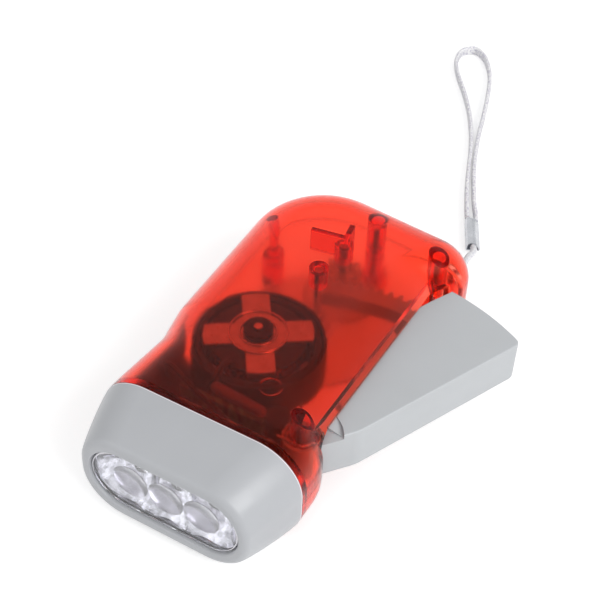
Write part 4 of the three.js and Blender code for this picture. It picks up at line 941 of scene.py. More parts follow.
def top_posts():
    root = INNER_TOP + GAP
    pieces = []
    for x, y, radius in SCREWS:
        pieces.append(cut(
            rod("post", radius, x, y, TOP_SHELL_Z, root),
            rod("pilot", PILOT_RADIUS, x, y, PARTING_Z - OVERRUN, SCREW_TOP_Z, 24),
            rod("relief", CORE_RADIUS, x, y, PARTING_Z + OVERRUN, SCREW_TOP_Z + CORE_DEPTH, 32),
        ))
    pieces.append(rod("locator", LOCATOR_RADIUS, *LOCATOR_PLACE, LOCATOR_Z, root))
    pieces.append(bushing(
        "transfer_boss", BOSS_RADIUS, BOSS_BORE_RADIUS, TRANSFER,
        (TRANSFER_BOSS_Z, root), (TRANSFER_BOSS_Z - OVERRUN, TRANSFER_BORE_Z),
    ))
    turn = Matrix.Rotation(math.radians(ROOF_RIB_DEGREES), 4, "Z")
    shift = Matrix.Translation(Vector((DRIVE[0] + ROOF_RIB_WIDTH / 2, DRIVE[1] + ROOF_RIB_WIDTH, 0)) * MM)
    for x0, y1 in ((-ROOF_RIB_LENGTH, 0), (-ROOF_RIB_WIDTH, ROOF_RIB_FLANGE)):
        rib = block("rib", x0, 0, -ROOF_RIB_WIDTH, y1, INNER_TOP - ROOF_RIB_DEPTH, root)
        rib.data.transform(shift @ turn)
        pieces.append(rib)
    mark = ring_profile(*EJECTOR_RADII, INNER_TOP - EJECTOR_DEPTH, root)
    pieces += [turned("mark", mark, *place, 48) for place in EJECTOR_PLACES]
    boss = rod("drive_boss", BOSS_RADIUS, *DRIVE, DRIVE_BOSS_Z, DRIVE_BOSS_TOP)
    joined = join(pieces[0], *pieces[1:], boss)
    return cut(joined, rod("bore", BOSS_BORE_RADIUS, *DRIVE, DRIVE_BOSS_Z - OVERRUN, DRIVE_BORE_Z, 24))


def bottom_posts():
    root = WALL - GAP
    pieces = []
    for x, y, radius in SCREWS:
        seat_radius = SCREW_HEAD_RADIUS + SCREW_SEAT_WALL
        pieces.append(rod("seat", seat_radius, x, y, root, SCREW_RECESS_DEPTH + WALL / 2))
        pieces.append(rod("post", radius, x, y, root, BOTTOM_SHELL_Z))
    pieces.append(bushing(
        "socket", SOCKET_RADIUS, LOCATOR_RADIUS + GAP, LOCATOR_PLACE,
        (root, BOTTOM_SHELL_Z), (LOCATOR_Z - GAP, PARTING_Z + OVERRUN),
    ))
    joined = join(pieces[0], *pieces[1:])
    for place, (radius, z0, z1) in ((TRANSFER, TRANSFER_ROOM), (DRIVE, DRIVE_ROOM)):
        joined = cut(joined, rod("gear_room", radius, *place, z0, z1, 96))
    ends, bore_ends, pieces = (root, BOTTOM_BOSS_Z), (WALL, BOTTOM_BOSS_Z + OVERRUN), []
    for place in (TRANSFER, FLYWHEEL):
        pieces.append(bushing("boss", BOSS_RADIUS, BOSS_BORE_RADIUS, place, ends, bore_ends))
    pieces += [block("rib", x0, x1, y, y + FLOOR_RIB_WIDTH, root, FLOOR_RIB_TOP) for x0, x1, y in FLOOR_RIBS]
    pieces.append(rod("strap_post", STRAP_POST_RADIUS, *STRAP_POST_PLACE, root, PARTING_Z + 2 * WALL, 32))
    return join(joined, *pieces)


def screw_bores():
    bores = []
    for x, y, _ in SCREWS:
        bores.append(rod("shank", SCREW_SHANK_ROOM, x, y, -OVERRUN, PARTING_Z + GAP, 24))
        bores.append(rod("recess", SCREW_HEAD_RADIUS + GAP, x, y, -OVERRUN, SCREW_RECESS_DEPTH, 40))
    return [frost(bore, EDGE_FROST) for bore in bores]


def copy_of(obj, name):
    twin = obj.copy()
    twin.data = obj.data.copy()
    twin.name = name
    bpy.context.scene.collection.objects.link(twin)
    return twin


def make_shells():
    housing = hollow_housing()
    within = housing_form("within", WALL / 2)
    top = overlap(copy_of(housing, "top_shell_skin"), slab(-FAR, FAR, TOP_SHELL_Z))
    bottom = overlap(copy_of(housing, "bottom_shell_skin"), slab(-FAR, FAR, -OVERRUN, BOTTOM_SHELL_Z))
    bpy.data.objects.remove(housing, do_unlink=True)
    top = join(top, frost(overlap(top_posts(), copy_of(within, "within")), POST_FROST))
    bottom = join(bottom, frost(overlap(bottom_posts(), within), POST_FROST))
    return cut(top, strap_window()), cut(bottom, *screw_bores())


for skin, node_name in zip(make_shells(), ("top_shell", "bottom_shell")):
    dress(skin, SHELL_RED, node_name, sharp=30)


# Head: bezel, lens, reflector and light-emitting diodes
LENS_FLANGE_Y = BEZEL_FRONT_Y + BEZEL_FRONT_WALL + GAP
LENS_BACK_Y = LENS_FLANGE_Y + LENS_FLANGE_THICKNESS
REFLECTOR_FRONT_Y = LENS_BACK_Y + GAP
REFLECTOR_BACK_Y = REFLECTOR_FRONT_Y + REFLECTOR_DEPTH
LED_TIP_Y = REFLECTOR_FRONT_Y + LED_TIP_DEPTH
LED_XS = [-LED_PITCH, 0, LED_PITCH]


def stadium_ring(width, height, y, steps=28):
    radius = height / 2
    straight = width / 2 - radius
    ring = arc(straight, 0, radius, 0, 180, steps) + arc(-straight, 0, radius, 180, 360, steps)
    return [(x, y, MIDDLE_Z + z) for x, z in ring]


def stadium(name, levels):
    """A loft of stadiums, each level a (width, height, y)."""
    return loft(name, [stadium_ring(*level) for level in levels])


def make_bezel():
    front_inner = BEZEL_FRONT_Y + BEZEL_FRONT_WALL
    width, height = LENS_WIDTH + 2 * GAP, LENS_HEIGHT + 2 * GAP
    edge, least_facing = 0.5, 0.3
    levels = [(width + 2 * edge, height + 2 * edge, BEZEL_FRONT_Y - OVERRUN)]
    for sine, cosine in quarter(6):
        flare = 2 * edge * (1 - sine)
        levels.append((width + flare, height + flare, BEZEL_FRONT_Y + edge * (1 - cosine)))
    levels.append((width, height, front_inner + GAP))
    outer = bezel_form("head_bezel_shell", 0, BEZEL_FRONT_Y, HEAD_JOINT_Y, rim=BEZEL_RIM, nose=BEZEL_NOSE)
    hollow = bezel_form("hollow", BEZEL_WALL, front_inner, HEAD_JOINT_Y + OVERRUN)
    bezel = finish(cut(outer, hollow, stadium("mouth", levels)), HEAD_GREY, HEAD_PAINTED_HIGHLIGHT)
    # Backward-facing faces at the rear rim get the near-white painted highlight
    for face in bezel.data.polygons:
        at_rim = face.center.y > (HEAD_JOINT_Y - BEZEL_HIGHLIGHT_DEPTH) * MM
        face.material_index = int(at_rim and face.normal.y < least_facing)
    return bezel


def spun_along_y(name, profile, x, sides=64):
    """A closed profile of (radius, y) spun about the beam's axis."""
    rings = [[(x + r * cosine, y, MIDDLE_Z + r * sine) for r, y in profile] for cosine, sine in around(sides)]
    return weld(loft(name, rings, closed=True))


def make_lens():
    """A clear window with a seating flange."""
    front = BEZEL_FRONT_Y + LENS_RECESS
    edge, rounding_share, middle = 0.35, 0.3, LENS_FLANGE_Y + LENS_FLANGE_THICKNESS / 2
    insets = [(edge, 0), (edge * rounding_share, edge * rounding_share), (0, edge), (0, middle - front)]
    window = stadium("lens_window", [
        (LENS_WIDTH - 2 * inset, LENS_HEIGHT - 2 * inset, front + depth) for inset, depth in insets
    ])
    flange_size = (LENS_WIDTH + 2 * LENS_FLANGE_RIM, LENS_HEIGHT + 2 * LENS_FLANGE_RIM)
    flange = stadium("flange", [(*flange_size, y) for y in (LENS_FLANGE_Y, LENS_BACK_Y)])
    lens = finish(join(window, flange), LENS_CLEAR, LENS_PAINTED_HIGHLIGHT)
    # The rounded front edge of the lens gets the near-white painted highlight
    flat_facing, side_facing = -0.97, -0.15
    for face in lens.data.polygons:
        at_front = face.center.y < (front + 2 * edge) * MM
        face.material_index = int(at_front and flat_facing < face.normal.y < side_facing)
    return lens


def make_magnifier(name, x):
    """A shallow dome moulded on the lens's inner face."""
    radius, rise, root, steps = 4.35, 1.3, 0.25, 16
    sphere = (radius ** 2 + rise ** 2) / (2 * rise)
    reach = math.asin(radius / sphere)
    profile = [(0, LENS_BACK_Y - root), (radius, LENS_BACK_Y - root)]
    for i in range(steps + 1):
        angle = reach * (1 - i / steps)
        profile.append((sphere * math.sin(angle), LENS_BACK_Y + sphere * (math.cos(angle) - math.cos(reach))))
    return spun_along_y(name, profile, x)


def bowl_depth(radius):
    share = min(1, max(0, (radius - LED_RADIUS) / (BOWL_RADIUS - LED_RADIUS)))
    return BOWL_DEPTH * (1 - share ** 1.6)


def stadium_reach(x, angle):
    """How far the lens opening's edge lies from a bowl's axis in a direction."""
    half_height = LENS_HEIGHT / 2
    straight = LENS_WIDTH / 2 - half_height
    low, high = 0, LENS_WIDTH
    for _ in range(40):
        middle = (low + high) / 2
        px, pz = x + middle * math.cos(angle), middle * math.sin(angle)
        outside = math.hypot(px - max(-straight, min(straight, px)), pz) > half_height
        low, high = (low, middle) if outside else (middle, high)
    return low


def make_reflector():
    """Three silvered bowls that meet in sharp crests, inside a stadium rim."""
    spokes, steps, sheet = 120, 18, 0.5
    throat, last = LED_RADIUS + GAP / 2, len(LED_XS) - 1
    points, faces = [], []
    for index, x in enumerate(LED_XS):
        start = len(points)
        for i in range(spokes):
            angle = TAU * i / spokes
            reach = stadium_reach(x, angle)
            sideways = math.cos(angle)
            shared = (index > 0 and sideways < 0) or (index < last and sideways > 0)
            if shared and abs(sideways) > TINY:
                reach = min(reach, LED_PITCH / 2 / abs(sideways))
            for step in range(steps + 1):
                radius = throat + (reach - throat) * step / steps
                y = REFLECTOR_FRONT_Y + bowl_depth(radius)
                points.append((x + radius * sideways, y, MIDDLE_Z + radius * math.sin(angle)))
        for i in range(spokes):
            j = (i + 1) % spokes
            for step in range(steps):
                a, b = start + i * (steps + 1) + step, start + j * (steps + 1) + step
                faces.append((a, a + 1, b + 1, b))
    obj = weld(link_mesh("reflector_bowls", mesh_of("reflector_bowls", points, faces)))
    with edited(obj) as work:
        if sum(face.normal.y for face in work.faces) > 0:
            bmesh.ops.reverse_faces(work, faces=work.faces)
    thickness = obj.modifiers.new("thickness", "SOLIDIFY")
    thickness.thickness = sheet * MM
    thickness.offset = -1
    settle(obj)
    return obj


def make_reflector_body():
    """The rim that seats behind the lens and the skirt round the bowls."""
    wide, high = LENS_WIDTH + 2 * REFLECTOR_RIM, LENS_HEIGHT + 2 * REFLECTOR_RIM
    front, back = REFLECTOR_FRONT_Y, REFLECTOR_BACK_Y
    outer = stadium("reflector_skirt", [(wide, high, y) for y in (front, back)])
    room = stadium("room", [(LENS_WIDTH, LENS_HEIGHT, y) for y in (front - OVERRUN, back + OVERRUN)])
    return soften(cut(outer, room), REFLECTOR_EDGE, 2)


def make_led(index, x):
    """A clear dome with its flange; the lead frame, cup and phosphor are inside it."""
    name = f"led_{index}"
    back = LED_TIP_Y + LED_DOME_LENGTH
    step_y = back - LED_FLANGE_THICKNESS
    profile = [(0, back), (LED_FLANGE_RADIUS, back), (LED_FLANGE_RADIUS, step_y), (LED_RADIUS, step_y)]
    for sine, cosine in reversed(quarter(16)):
        profile.append((LED_RADIUS * sine, LED_TIP_Y + LED_RADIUS * (1 - cosine)))
    dress(spun_along_y(f"{name}_dome", profile, x), LED_CLEAR, name, sharp=40)

    cup_front, cup_back, cup_depth, wire_sink, half_sheet = LED_TIP_Y + 3.9, LED_TIP_Y + 5, 0.7, 0.1, 0.2
    base, rim, mouth, floor, floor_y = 0.75, 1.05, 0.85, 0.45, cup_front + cup_depth
    cup = spun_along_y(f"{name}_cup", [
        (0, cup_back), (base, cup_back), (rim, cup_front), (mouth, cup_front), (floor, floor_y), (0, floor_y),
    ], x, 32)
    for left, right, front in ((-0.95, -0.15, cup_back - 2 * wire_sink), (0.5, 1.15, cup_front + wire_sink)):
        low, high = MIDDLE_Z - half_sheet, MIDDLE_Z + half_sheet
        cup = join(cup, block("stem", x + left, x + right, front, back + GAP, low, high))
    dress(cup, LEADFRAME, sharp=30)

    seat_radius, seat_depth = 0.47, 0.72
    outline = [(0.7, 0.35), (0.4, 0.2), (0, 0.15)]
    profile = [(0, cup_front + seat_depth), (seat_radius, cup_front + seat_depth)]
    profile += [(radius, cup_front + depth) for radius, depth in outline]
    dress(spun_along_y(f"{name}_phosphor", profile, x, 32), PHOSPHOR, sharp=40)


dress(make_bezel(), None, "head_bezel", sharp=36)
dress(make_lens(), None, "lens", sharp=30)
MAGNIFIER_PITCH = 8.8
for number, magnifier_x in enumerate((-MAGNIFIER_PITCH, 0, MAGNIFIER_PITCH)):
    magnifier = make_magnifier(f"lens_magnifier_{number + 1}", magnifier_x)
    dress(magnifier, MAGNIFIER, sharp=40)
dress(make_reflector(), CHROME, "reflector", sharp=24)
dress(make_reflector_body(), CHROME, sharp=30)
for number, led_x in enumerate(LED_XS):
    make_led(number + 1, led_x)


# Lever with its toothed rack sector
RACK_MODULE = 0.8
RACK_CIRCLE_TEETH = 130
RACK_TEETH = 10
RACK_BOTTOM = 11.4
RACK_TOP = 15.4
RACK_INNER_RADIUS = 47
RACK_BAND = 3.8
RACK_END_DEGREES = 30.5
RACK_WEB_DEGREES = 12
TOOTH_ADDENDUM_SHARE = 0.85
TOOTH_DEDENDUM_SHARE = 1.1
GEAR_BACKLASH = 0.16
LEVER_TRAVEL_DEGREES = 19
SPRING_WIRE_RADIUS = 0.3
RETURN_SPRING_RADIUS = 2.9
RETURN_SPRING_TURNS = 2.25
RETURN_SPRING_PITCH = 1.3
SPRING_LEG_LENGTH = 4.2
RETURN_SPRING_TOP = LEVER_TOP - LEVER_STEP_DEPTH + GAP + SPRING_WIRE_RADIUS
RETURN_SPRING_BOTTOM = RETURN_SPRING_TOP - RETURN_SPRING_PITCH * RETURN_SPRING_TURNS


def tooth_flank(teeth, module, count):
    pitch = teeth * module / 2
    pressure = math.radians(20)
    base = pitch * math.cos(pressure)
    root = max(pitch - module * TOOTH_DEDENDUM_SHARE, base)
    tip = pitch + module * TOOTH_ADDENDUM_SHARE
    flank = []
    for i in range(count):
        radius = root + (tip - root) * i / (count - 1)
        at = math.acos(min(1, base / max(radius, base)))
        half = math.pi / (2 * teeth) - GEAR_BACKLASH / (4 * pitch)
        half += (math.tan(pressure) - pressure) - (math.tan(at) - at)
        flank.append((radius, half))
    return flank


def rack_sector():
    flank = tooth_flank(RACK_CIRCLE_TEETH, RACK_MODULE, 4)
    pitch_degrees = 360 / RACK_CIRCLE_TEETH
    facing = math.atan2(DRIVE[1] - PIVOT_Y, DRIVE[0] - PIVOT_X)
    teeth = []
    for i in reversed(range(RACK_TEETH)):
        angle = facing - math.radians((i - 1) * pitch_degrees)
        sides = [(r, angle - half) for r, half in flank] + [(r, angle + half) for r, half in reversed(flank)]
        teeth += [(PIVOT_X + math.cos(a) * r, PIVOT_Y + math.sin(a) * r) for r, a in sides]
    inner, outer = RACK_INNER_RADIUS, RACK_INNER_RADIUS + RACK_BAND
    start = DRIVE_DEGREES - 1.5 * pitch_degrees
    last = DRIVE_DEGREES + (RACK_TEETH - 1.5) * pitch_degrees
    outline = arc(*PIVOT, outer, RACK_END_DEGREES, last, 16) + teeth
    outline += arc(*PIVOT, inner, start, RACK_END_DEGREES, 36)
    web = arc(*PIVOT, outer, RACK_END_DEGREES, RACK_WEB_DEGREES, 12)
    web += arc(*PIVOT, inner, RACK_WEB_DEGREES, RACK_END_DEGREES, 12)
    return (
        prism("rack", outline, RACK_BOTTOM, RACK_TOP),
        prism("web", web, LEVER_BOTTOM + GAP, LEVER_TOP - GAP),
    )


def lever_corners():
    rear = arc(PIVOT_X, PIVOT_Y, LEVER_REACH, LEVER_OPEN_DEGREES, LEVER_INNER_DEGREES, 20)
    return [
        (PIVOT_X + LEVER_HUB_RADIUS * 0.5, PIVOT_Y - LEVER_HUB_RADIUS * 0.8, 0),
        (PIVOT_X + LEVER_ELBOW_X, PIVOT_Y + LEVER_ELBOW_Y, LEVER_ELBOW_RADIUS),
        (*rear[0], LEVER_CORNER_RADIUS),
        *[(x, y, 0) for x, y in rear[2:]],
        (LEVER_REAR_X, LEVER_REAR_Y, 0),
        (LEVER_INNER_X, LEVER_INNER_END_Y, 0),
        (LEVER_INNER_X, PIVOT_Y + LEVER_HUB_RADIUS, 0),
        (PIVOT_X, PIVOT_Y + LEVER_HUB_RADIUS * 0.8, 0),
    ]


def round_edged(name, corners, steps, z0, z1, bottom_edge, top_edge, count=6):
    """A prism whose bottom and top edges are rounded."""
    bends = quarter(count)
    levels = [(z0 + bottom_edge * (1 - cosine), bottom_edge * (1 - sine)) for sine, cosine in bends]
    levels += [(z1 - top_edge * (1 - cosine), top_edge * (1 - sine)) for sine, cosine in reversed(bends)]
    rings = []
    for z, inset in levels:
        rings.append([(x, y, z) for x, y in rounded_outline(offset_corners(corners, inset), steps)])
    return loft(name, rings)


def hub_steps():
    """The lever's top is lower round the hub: flat up to a crease, then sloping outwards."""
    crease_y = PIVOT_Y + LEVER_CREASE
    low, high = LEVER_TOP - LEVER_STEP_DEPTH, LEVER_TOP + OVERRUN
    flat = overlap(
        rod("step", LEVER_STEP_RADIUS, *PIVOT, low, high, 120),
        block("front", -FAR, FAR, -FAR, crease_y, low - OVERRUN, high + OVERRUN),
    )
    start, end, bottom = PIVOT_X + LEVER_SLOPE_START, PIVOT_X + LEVER_SLOPE_END, LEVER_TOP - LEVER_SLOPE_DROP
    ramp = [(start, LEVER_TOP), (end, bottom), (end, high), (start, high)]
    slope = overlap(
        rod("slope", LEVER_STEP_RADIUS, *PIVOT, bottom, high, 120),
        loft("ramp", [[(x, y, z) for x, z in ramp] for y in (crease_y, PIVOT_Y + LEVER_SLOPE_END)]),
    )
    return flat, slope


def make_lever():
    corners = lever_corners()
    steps = arc_steps(corners, 3)
    bottom, top = LEVER_BOTTOM, LEVER_TOP
    floor, roof, above = LEVER_BOTTOM + LEVER_WALL, LEVER_TOP - LEVER_WALL, LEVER_TOP + OVERRUN
    wing = round_edged("lever_handle", corners, steps, bottom, top, LEVER_BOTTOM_EDGE, LEVER_TOP_EDGE)
    hub = rod("hub", LEVER_HUB_RADIUS, *PIVOT, bottom, top, 72)
    hollow = prism("hollow", rounded_outline(offset_corners(corners, LEVER_WALL), steps), floor, roof)
    mouth = block(
        "mouth", LEVER_INNER_X - LEVER_WALL, LEVER_INNER_X + 2 * LEVER_WALL,
        PIVOT_Y + LEVER_STEP_RADIUS, LEVER_INNER_END_Y, floor, roof,
    )
    hub_solid = rod("hub_solid", LEVER_STEP_RADIUS + LEVER_WALL, *PIVOT, bottom, top, 96)
    leg_room = SPRING_WIRE_RADIUS + GAP
    leg_x, seat_z = PIVOT_X + RETURN_SPRING_RADIUS, RETURN_SPRING_BOTTOM - leg_room
    seat = rod("seat", RETURN_SPRING_RADIUS + leg_room, *PIVOT, seat_z, above)
    leg_end = PIVOT_Y + SPRING_LEG_LENGTH + GAP
    leg_slot = block("leg_slot", leg_x - leg_room, leg_x + leg_room, PIVOT_Y, leg_end, seat_z, above)
    bore = rod("bore", PIVOT_POST_RADIUS + GAP, *PIVOT, bottom - OVERRUN, above)
    gear_place = polar(PIVOT, DRIVE_REACH, DRIVE_DEGREES + LEVER_TRAVEL_DEGREES)
    gear_radius, _, gear_top = DRIVE_ROOM
    gear_room = rod("gear_room", gear_radius, *gear_place, bottom - OVERRUN, gear_top, 96)
    shell = cut(join(wing, hub), cut(join(hollow, mouth), hub_solid), *hub_steps())
    return cut(join(shell, *rack_sector()), bore, seat, leg_slot, gear_room)


dress(make_lever(), LEVER_GREY, "lever", sharp=28, body="lever")


# Springs and wires, drawn as round wire
def wire_piece(name, line, radius, sides=12):
    return swept(name, line, lambda along: circle(0, 0, radius, sides))


def helix(x, y, radius, z0, pitch, turns, sense):
    steps = round(40 * turns)
    line = []
    for i in range(steps + 1):
        angle, z = sense * TAU * turns * i / steps, z0 + pitch * turns * i / steps
        line.append(Vector((x + radius * math.cos(angle), y + radius * math.sin(angle), z)))
    return line


def make_return_spring():
    coil = helix(
        *PIVOT, RETURN_SPRING_RADIUS,
        RETURN_SPRING_BOTTOM, RETURN_SPRING_PITCH, RETURN_SPRING_TURNS, -1,
    )
    leg_shares = (0.15, 0.4, 0.7, 1)
    lever_leg = [coil[0] + Vector((0, SPRING_LEG_LENGTH * share, 0)) for share in reversed(leg_shares)]
    shell_leg = [coil[-1] - Vector((SPRING_LEG_LENGTH * share, 0, 0)) for share in leg_shares]
    return wire_piece("lever_return_spring_coil", lever_leg + coil + shell_leg, SPRING_WIRE_RADIUS)


def make_clutch_spring():
    radius, bottom, pitch, turns = 1.85, 16.4, 1.1, 2
    coil = helix(*DRIVE, radius, bottom, pitch, turns, 1)
    return wire_piece("clutch_spring_coil", coil, SPRING_WIRE_RADIUS)


return_spring = make_return_spring()
dress(return_spring, SPRING, "lever_return_spring", sharp=50, body=None)
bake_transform(return_spring)
dress(make_clutch_spring(), SPRING, "clutch_spring", sharp=50, body="drive_pinion")


# Head end: a dark sheet on the wall as painted shade, loose wires over the boards and a sleeved joint
CELL_WIRES = [
    [(-19.6, -20.5, 9), (-19.7, -22.2, 15), (-18.9, -24.4, 19.6), (-15.4, -26, 21.6), (-11.3, -28, 22.3),
     (-6.5, -30, 22.2), (-1.4, -30.9, 20.9), (3, -31.6, 19.3), (5.5, -31.8, 18.8)],
    [(-18.2, -31.5, 8), (-18.6, -32, 14), (-17.5, -32.6, 18.6), (-14, -33.2, 21.2), (-9, -34.2, 22),
     (-3.5, -34.6, 21.2), (1.5, -33.8, 20), (6, -32.6, 19.1), (8.5, -32, 18.8)],
    [(10.6, -31.8, 18.4), (12.6, -31.4, 19.2), (14.5, -31.6, 18.4), (15.6, -32.6, 15), (15.4, -33.6, 10),
     (13, -34.4, 7)],
]
CELL_WIRE_RADIUS = 0.6
SLEEVE_ENDS = ((-6.2, -24.2, 18.9), (8.2, -25.2, 18.9))
CAPACITOR_RADIUS = 3.1
CAPACITOR_EDGE = 0.5
CAPACITOR_PLACE = (9.4, -22.6)
CAPACITOR_TOP = 16.8


# A dark sheet inside the left wall of the head end: painted shade where the interior lies in shadow
def make_painted_shade_sheet():
    gap, thickness = 0.15, 0.4
    right, front, back, top = -14.5, -35.4, -11.2, 21.8
    return cut(
        overlap(
            housing_form("head_painted_shade_sheet", WALL + gap),
            block("left", -FAR, right, front, back, -OVERRUN, top),
        ),
        housing_form("room", WALL + gap + thickness),
    )


def make_sleeve():
    start, end = (Vector(p) for p in SLEEVE_ENDS)
    radius, end_radius, length = 1.25, 0.25, (end - start).length
    line, sizes = [], []
    for sine, cosine in quarter(8):
        line.append(start.lerp(end, radius * (1 - cosine) / length))
        sizes.append(max(end_radius, radius * sine))
    line += [start + end - p for p in reversed(line)]
    sizes += sizes[::-1]
    ahead = (end - start).normalized()
    side = ahead.cross(Vector((0, 0, 1))).normalized()
    up = side.cross(ahead)
    rings = []
    for point, size in zip(line, sizes):
        rings.append([tuple(point + side * size * cosine + up * size * sine) for cosine, sine in around(24)])
    return loft("wire_sleeve_tube", rings)


dress(make_painted_shade_sheet(), PAINTED_SHADE_SHEET)
dress(make_sleeve(), SLEEVE, sharp=50)
capacitor = rod("buffer_capacitor", CAPACITOR_RADIUS, *CAPACITOR_PLACE, WALL + GAP, CAPACITOR_TOP)
dress(soften(capacitor, CAPACITOR_EDGE), BLACK)
for number, route in enumerate(CELL_WIRES):
    line = smooth_route([Vector(p) for p in route], 0.4)
    cell_wire = wire_piece(f"cell_wire_{number + 1}", line, CELL_WIRE_RADIUS)
    dress(cell_wire, BLACK, sharp=50)


# Generator: flywheel, ring magnet, pole plates, bobbin and winding
UPPER_PLATE_Z = 19.6
LOWER_PLATE_Z = 11.2
PLATE_THICKNESS = 0.8
PLATE_BORE_RADIUS = 3.3
UPPER_PLATE_DEGREES = 34.6
CLAWS = 4


def turned_piece(name, profile, edge=0.15, sides=128):
    return soften(turned(name, profile, *FLYWHEEL, sides), edge, 2, 50)


def make_flywheel():
    bore, hub, inner, outer = 1.3, 3, 14.6, 15.4
    bottom, floor, hub_top, top = 8.4, 9.4, 10.3, 18.6
    return turned_piece("flywheel_cup", [
        (bore, bottom), (outer, bottom), (outer, top), (inner, top),
        (inner, floor), (hub, floor), (hub, hub_top), (bore, hub_top),
    ])


def make_magnet():
    inner, outer, bottom, top = 13, 14.3, 9.7, 18.3
    return turned_piece("ring_magnet_body", ring_profile(inner, outer, bottom, top))


def make_pole_plate(name, z, direction, turn_degrees):
    """A disc with four arms; its claws point up or down."""
    disc_radius, arm_width, claw_reach, claw_length = 6.2, 6.4, 12.6, 5.6
    edge, beyond = 0.14, 1
    half_width, plate_top = arm_width / 2, z + PLATE_THICKNESS
    bottom, top = (plate_top - claw_length, plate_top) if direction < 0 else (z, z + claw_length)
    pieces = [prism("disc", circle(0, 0, disc_radius, 96), z, plate_top)]
    for i in range(CLAWS):
        turn = Matrix.Rotation(math.radians(turn_degrees) + TAU * i / CLAWS, 4, "Z")
        claw_start, end = claw_reach - PLATE_THICKNESS, claw_reach + beyond
        arm = block("arm", 0, end, -half_width, half_width, z, plate_top)
        claw = block("claw", claw_start, end, -half_width, half_width, bottom, top)
        for piece in (arm, claw):
            piece.data.transform(turn)
            pieces.append(piece)
    ends = (bottom - beyond, top + beyond)
    plate = overlap(join(*pieces), prism("rim", circle(0, 0, claw_reach, 144), *ends))
    plate = cut(plate, prism("bore", circle(0, 0, PLATE_BORE_RADIUS, 48), *ends))
    plate.name = name
    plate.data.transform(Matrix.Translation(Vector((*FLYWHEEL, 0)) * MM))
    return soften(plate, edge, 2)


def make_bobbin():
    inner, tube, flange = PLATE_BORE_RADIUS, 4.2, 11.2
    bottom, floor, roof, top = 12.3, 13.1, 18.5, 19.3
    return turned_piece("coil_bobbin_reel", [
        (inner, bottom), (flange, bottom), (flange, floor), (tube, floor),
        (tube, roof), (flange, roof), (flange, top), (inner, top),
    ])


def make_winding():
    """Enamelled wire in even turns over the layers below."""
    bottom, top, inner, outer, wire, spacing, sink = 13.4, 18.2, 4.5, 10.6, 0.15, 2.15, 1.4
    turns = int((top - bottom) / (spacing * wire))
    core = turned("coil_winding_wound", ring_profile(inner, outer - sink * wire, bottom, top), *FLYWHEEL, 96)
    pitch = (top - bottom - 2 * wire) / turns
    wires = wire_piece("wires", helix(*FLYWHEEL, outer - wire, bottom + wire, pitch, turns, 1), wire, 6)
    return join(core, wires)


def make_core():
    bore, tube, collar, mouth = 1, 2.9, 3.4, 1.3
    bottom, mouth_z, collar_z, top = 10.6, 12, 20.7, 22
    return turned_piece("stator_core_tube", [
        (bore, bottom), (tube, bottom), (tube, collar_z), (collar, collar_z),
        (collar, top), (mouth, top), (mouth, mouth_z), (bore, mouth_z),
    ])


def make_stator_clips():
    """Two wire rings that hold the plates down, resting on the upper one."""
    plate_top, wire, radii = UPPER_PLATE_Z + PLATE_THICKNESS, 0.22, (4.2, 6.7)
    profiles = [circle(radius, plate_top + wire, wire, 12) for radius in radii]
    return join(*[turned("stator_clip_rings", profile, *FLYWHEEL, 120) for profile in profiles])


dress(make_flywheel(), FLYWHEEL_BLACK, "flywheel", body="flywheel")
dress(make_magnet(), FERRITE, "ring_magnet", body="flywheel")
upper_plate = make_pole_plate("upper_pole_plate_steel", UPPER_PLATE_Z, -1, UPPER_PLATE_DEGREES)
lower_plate = make_pole_plate("lower_pole_plate_steel", LOWER_PLATE_Z, 1, UPPER_PLATE_DEGREES + 180 / CLAWS)
dress(upper_plate, STEEL, "upper_pole_plate")
dress(lower_plate, STEEL, "lower_pole_plate")
dress(make_bobbin(), BLACK, "coil_bobbin")
dress(make_winding(), COPPER, "coil_winding", sharp=40)
dress(make_core(), BLACKENED, "stator_core")
dress(make_stator_clips(), AXLE, sharp=60)


# Solids that stay, each with its finish and small rounded edges
KEPT = {
    "led_board circuit_board": BOARD,
    "storage_cell": CELL,
    "rectifier coil_wire_1 coil_wire_2 led_wire_1 led_wire_2": BLACK,
    "flywheel_axle transfer_axle drive_axle": AXLE,
    "flywheel_pinion transfer_gear drive_gear drive_pinion": NYLON,
    "housing_screw_1 housing_screw_2 housing_screw_3": SCREW,
}
SMALL_EDGE = 0.06
EDGES = {
    "storage_cell": 0.4, "rectifier": 0.25, "flywheel_axle": 0.15, "transfer_axle": 0.15, "drive_axle": 0.12,
}
for node_names, look in KEPT.items():
    for node_name in node_names.split():
        node = finish(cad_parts[node_name], look)
        edges = node.modifiers.new("edges", "BEVEL")
        edges.width = EDGES.get(node_name, SMALL_EDGE) * MM
        edges.segments = 2
        edges.limit_method = "ANGLE"
        edges.angle_limit = math.radians(40)


# Floor, lights and world
def background(tree, lit, seen, through):
    """A glow's strength: as a light, where it is seen, and where it is seen through glass."""
    path = tree.nodes.new("ShaderNodeLightPath")
    strength = None
    for kind, level in (("Is Camera Ray", seen), ("Is Glossy Ray", seen), ("Is Transmission Ray", through)):
        blend = tree.nodes.new("ShaderNodeMapRange")
        blend.inputs["To Max"].default_value = level
        if strength is None:
            blend.inputs["To Min"].default_value = lit
        else:
            tree.links.new(strength, blend.inputs["To Min"])
        tree.links.new(path.outputs[kind], blend.inputs["Value"])
        strength = blend.outputs["Result"]
    return strength


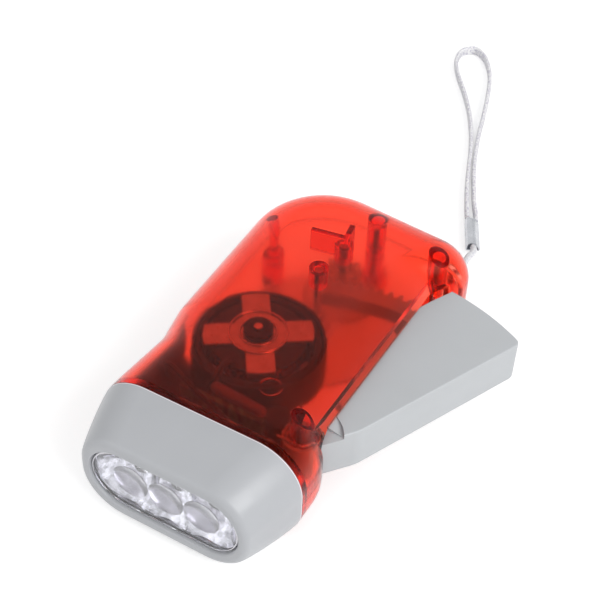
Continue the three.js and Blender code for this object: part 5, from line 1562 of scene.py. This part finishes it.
def make_floor():
    side, drop = 1.6, 0.00005
    corners = [(-side, -side, -drop), (side, -side, -drop), (side, side, -drop), (-side, side, -drop)]
    mesh = bpy.data.meshes.new("floor")
    mesh.from_pydata(corners, [], [(0, 1, 2, 3)])
    floor = link_mesh("floor", mesh)
    material = bpy.data.materials.new("floor_white")
    material.use_nodes = True
    tree = material.node_tree
    tree.nodes.clear()
    diffuse = tree.nodes.new("ShaderNodeBsdfDiffuse")
    diffuse.inputs["Color"].default_value = (0.8, 0.8, 0.8, 1)
    glow = tree.nodes.new("ShaderNodeEmission")
    tree.links.new(background(tree, lit=0, seen=0.5, through=0.75), glow.inputs["Strength"])
    both = tree.nodes.new("ShaderNodeAddShader")
    output = tree.nodes.new("ShaderNodeOutputMaterial")
    tree.links.new(diffuse.outputs[0], both.inputs[0])
    tree.links.new(glow.outputs[0], both.inputs[1])
    tree.links.new(both.outputs[0], output.inputs["Surface"])
    mesh.materials.append(material)


def make_world():
    world = bpy.data.worlds.new("studio")
    world.use_nodes = True
    tree = world.node_tree
    shown = tree.nodes["Background"]
    shown.inputs["Color"].default_value = (1, 1, 1, 1)
    tree.links.new(background(tree, lit=0.6, seen=1, through=1), shown.inputs["Strength"])
    bpy.context.scene.world = world


def make_lamp(name, azimuth, elevation, distance, size, level):
    """A square soft light; at level 1 it shows a white surface that faces it as white."""
    a, e = math.radians(azimuth), math.radians(elevation)
    data = bpy.data.lights.new(name, "AREA")
    data.size = size
    data.energy = level * math.pi * distance ** 2 * math.pi
    lamp = bpy.data.objects.new(name, data)
    bpy.context.scene.collection.objects.link(lamp)
    toward = Vector((math.sin(a) * math.cos(e), -math.cos(a) * math.cos(e), math.sin(e)))
    lamp.location = toward * distance
    lamp.rotation_euler = toward.to_track_quat("Z", "Y").to_euler()


make_floor()
make_world()
make_lamp("key", azimuth=75, elevation=36, distance=1.2, size=0.7, level=0.55)
make_lamp("fill", azimuth=-40, elevation=22, distance=1.4, size=1.1, level=0.12)
bpy.context.scene.view_settings.view_transform = "Standard"
bpy.context.scene.cycles.max_bounces = 32
bpy.context.scene.cycles.glossy_bounces = 24
bpy.context.scene.cycles.transmission_bounces = 32
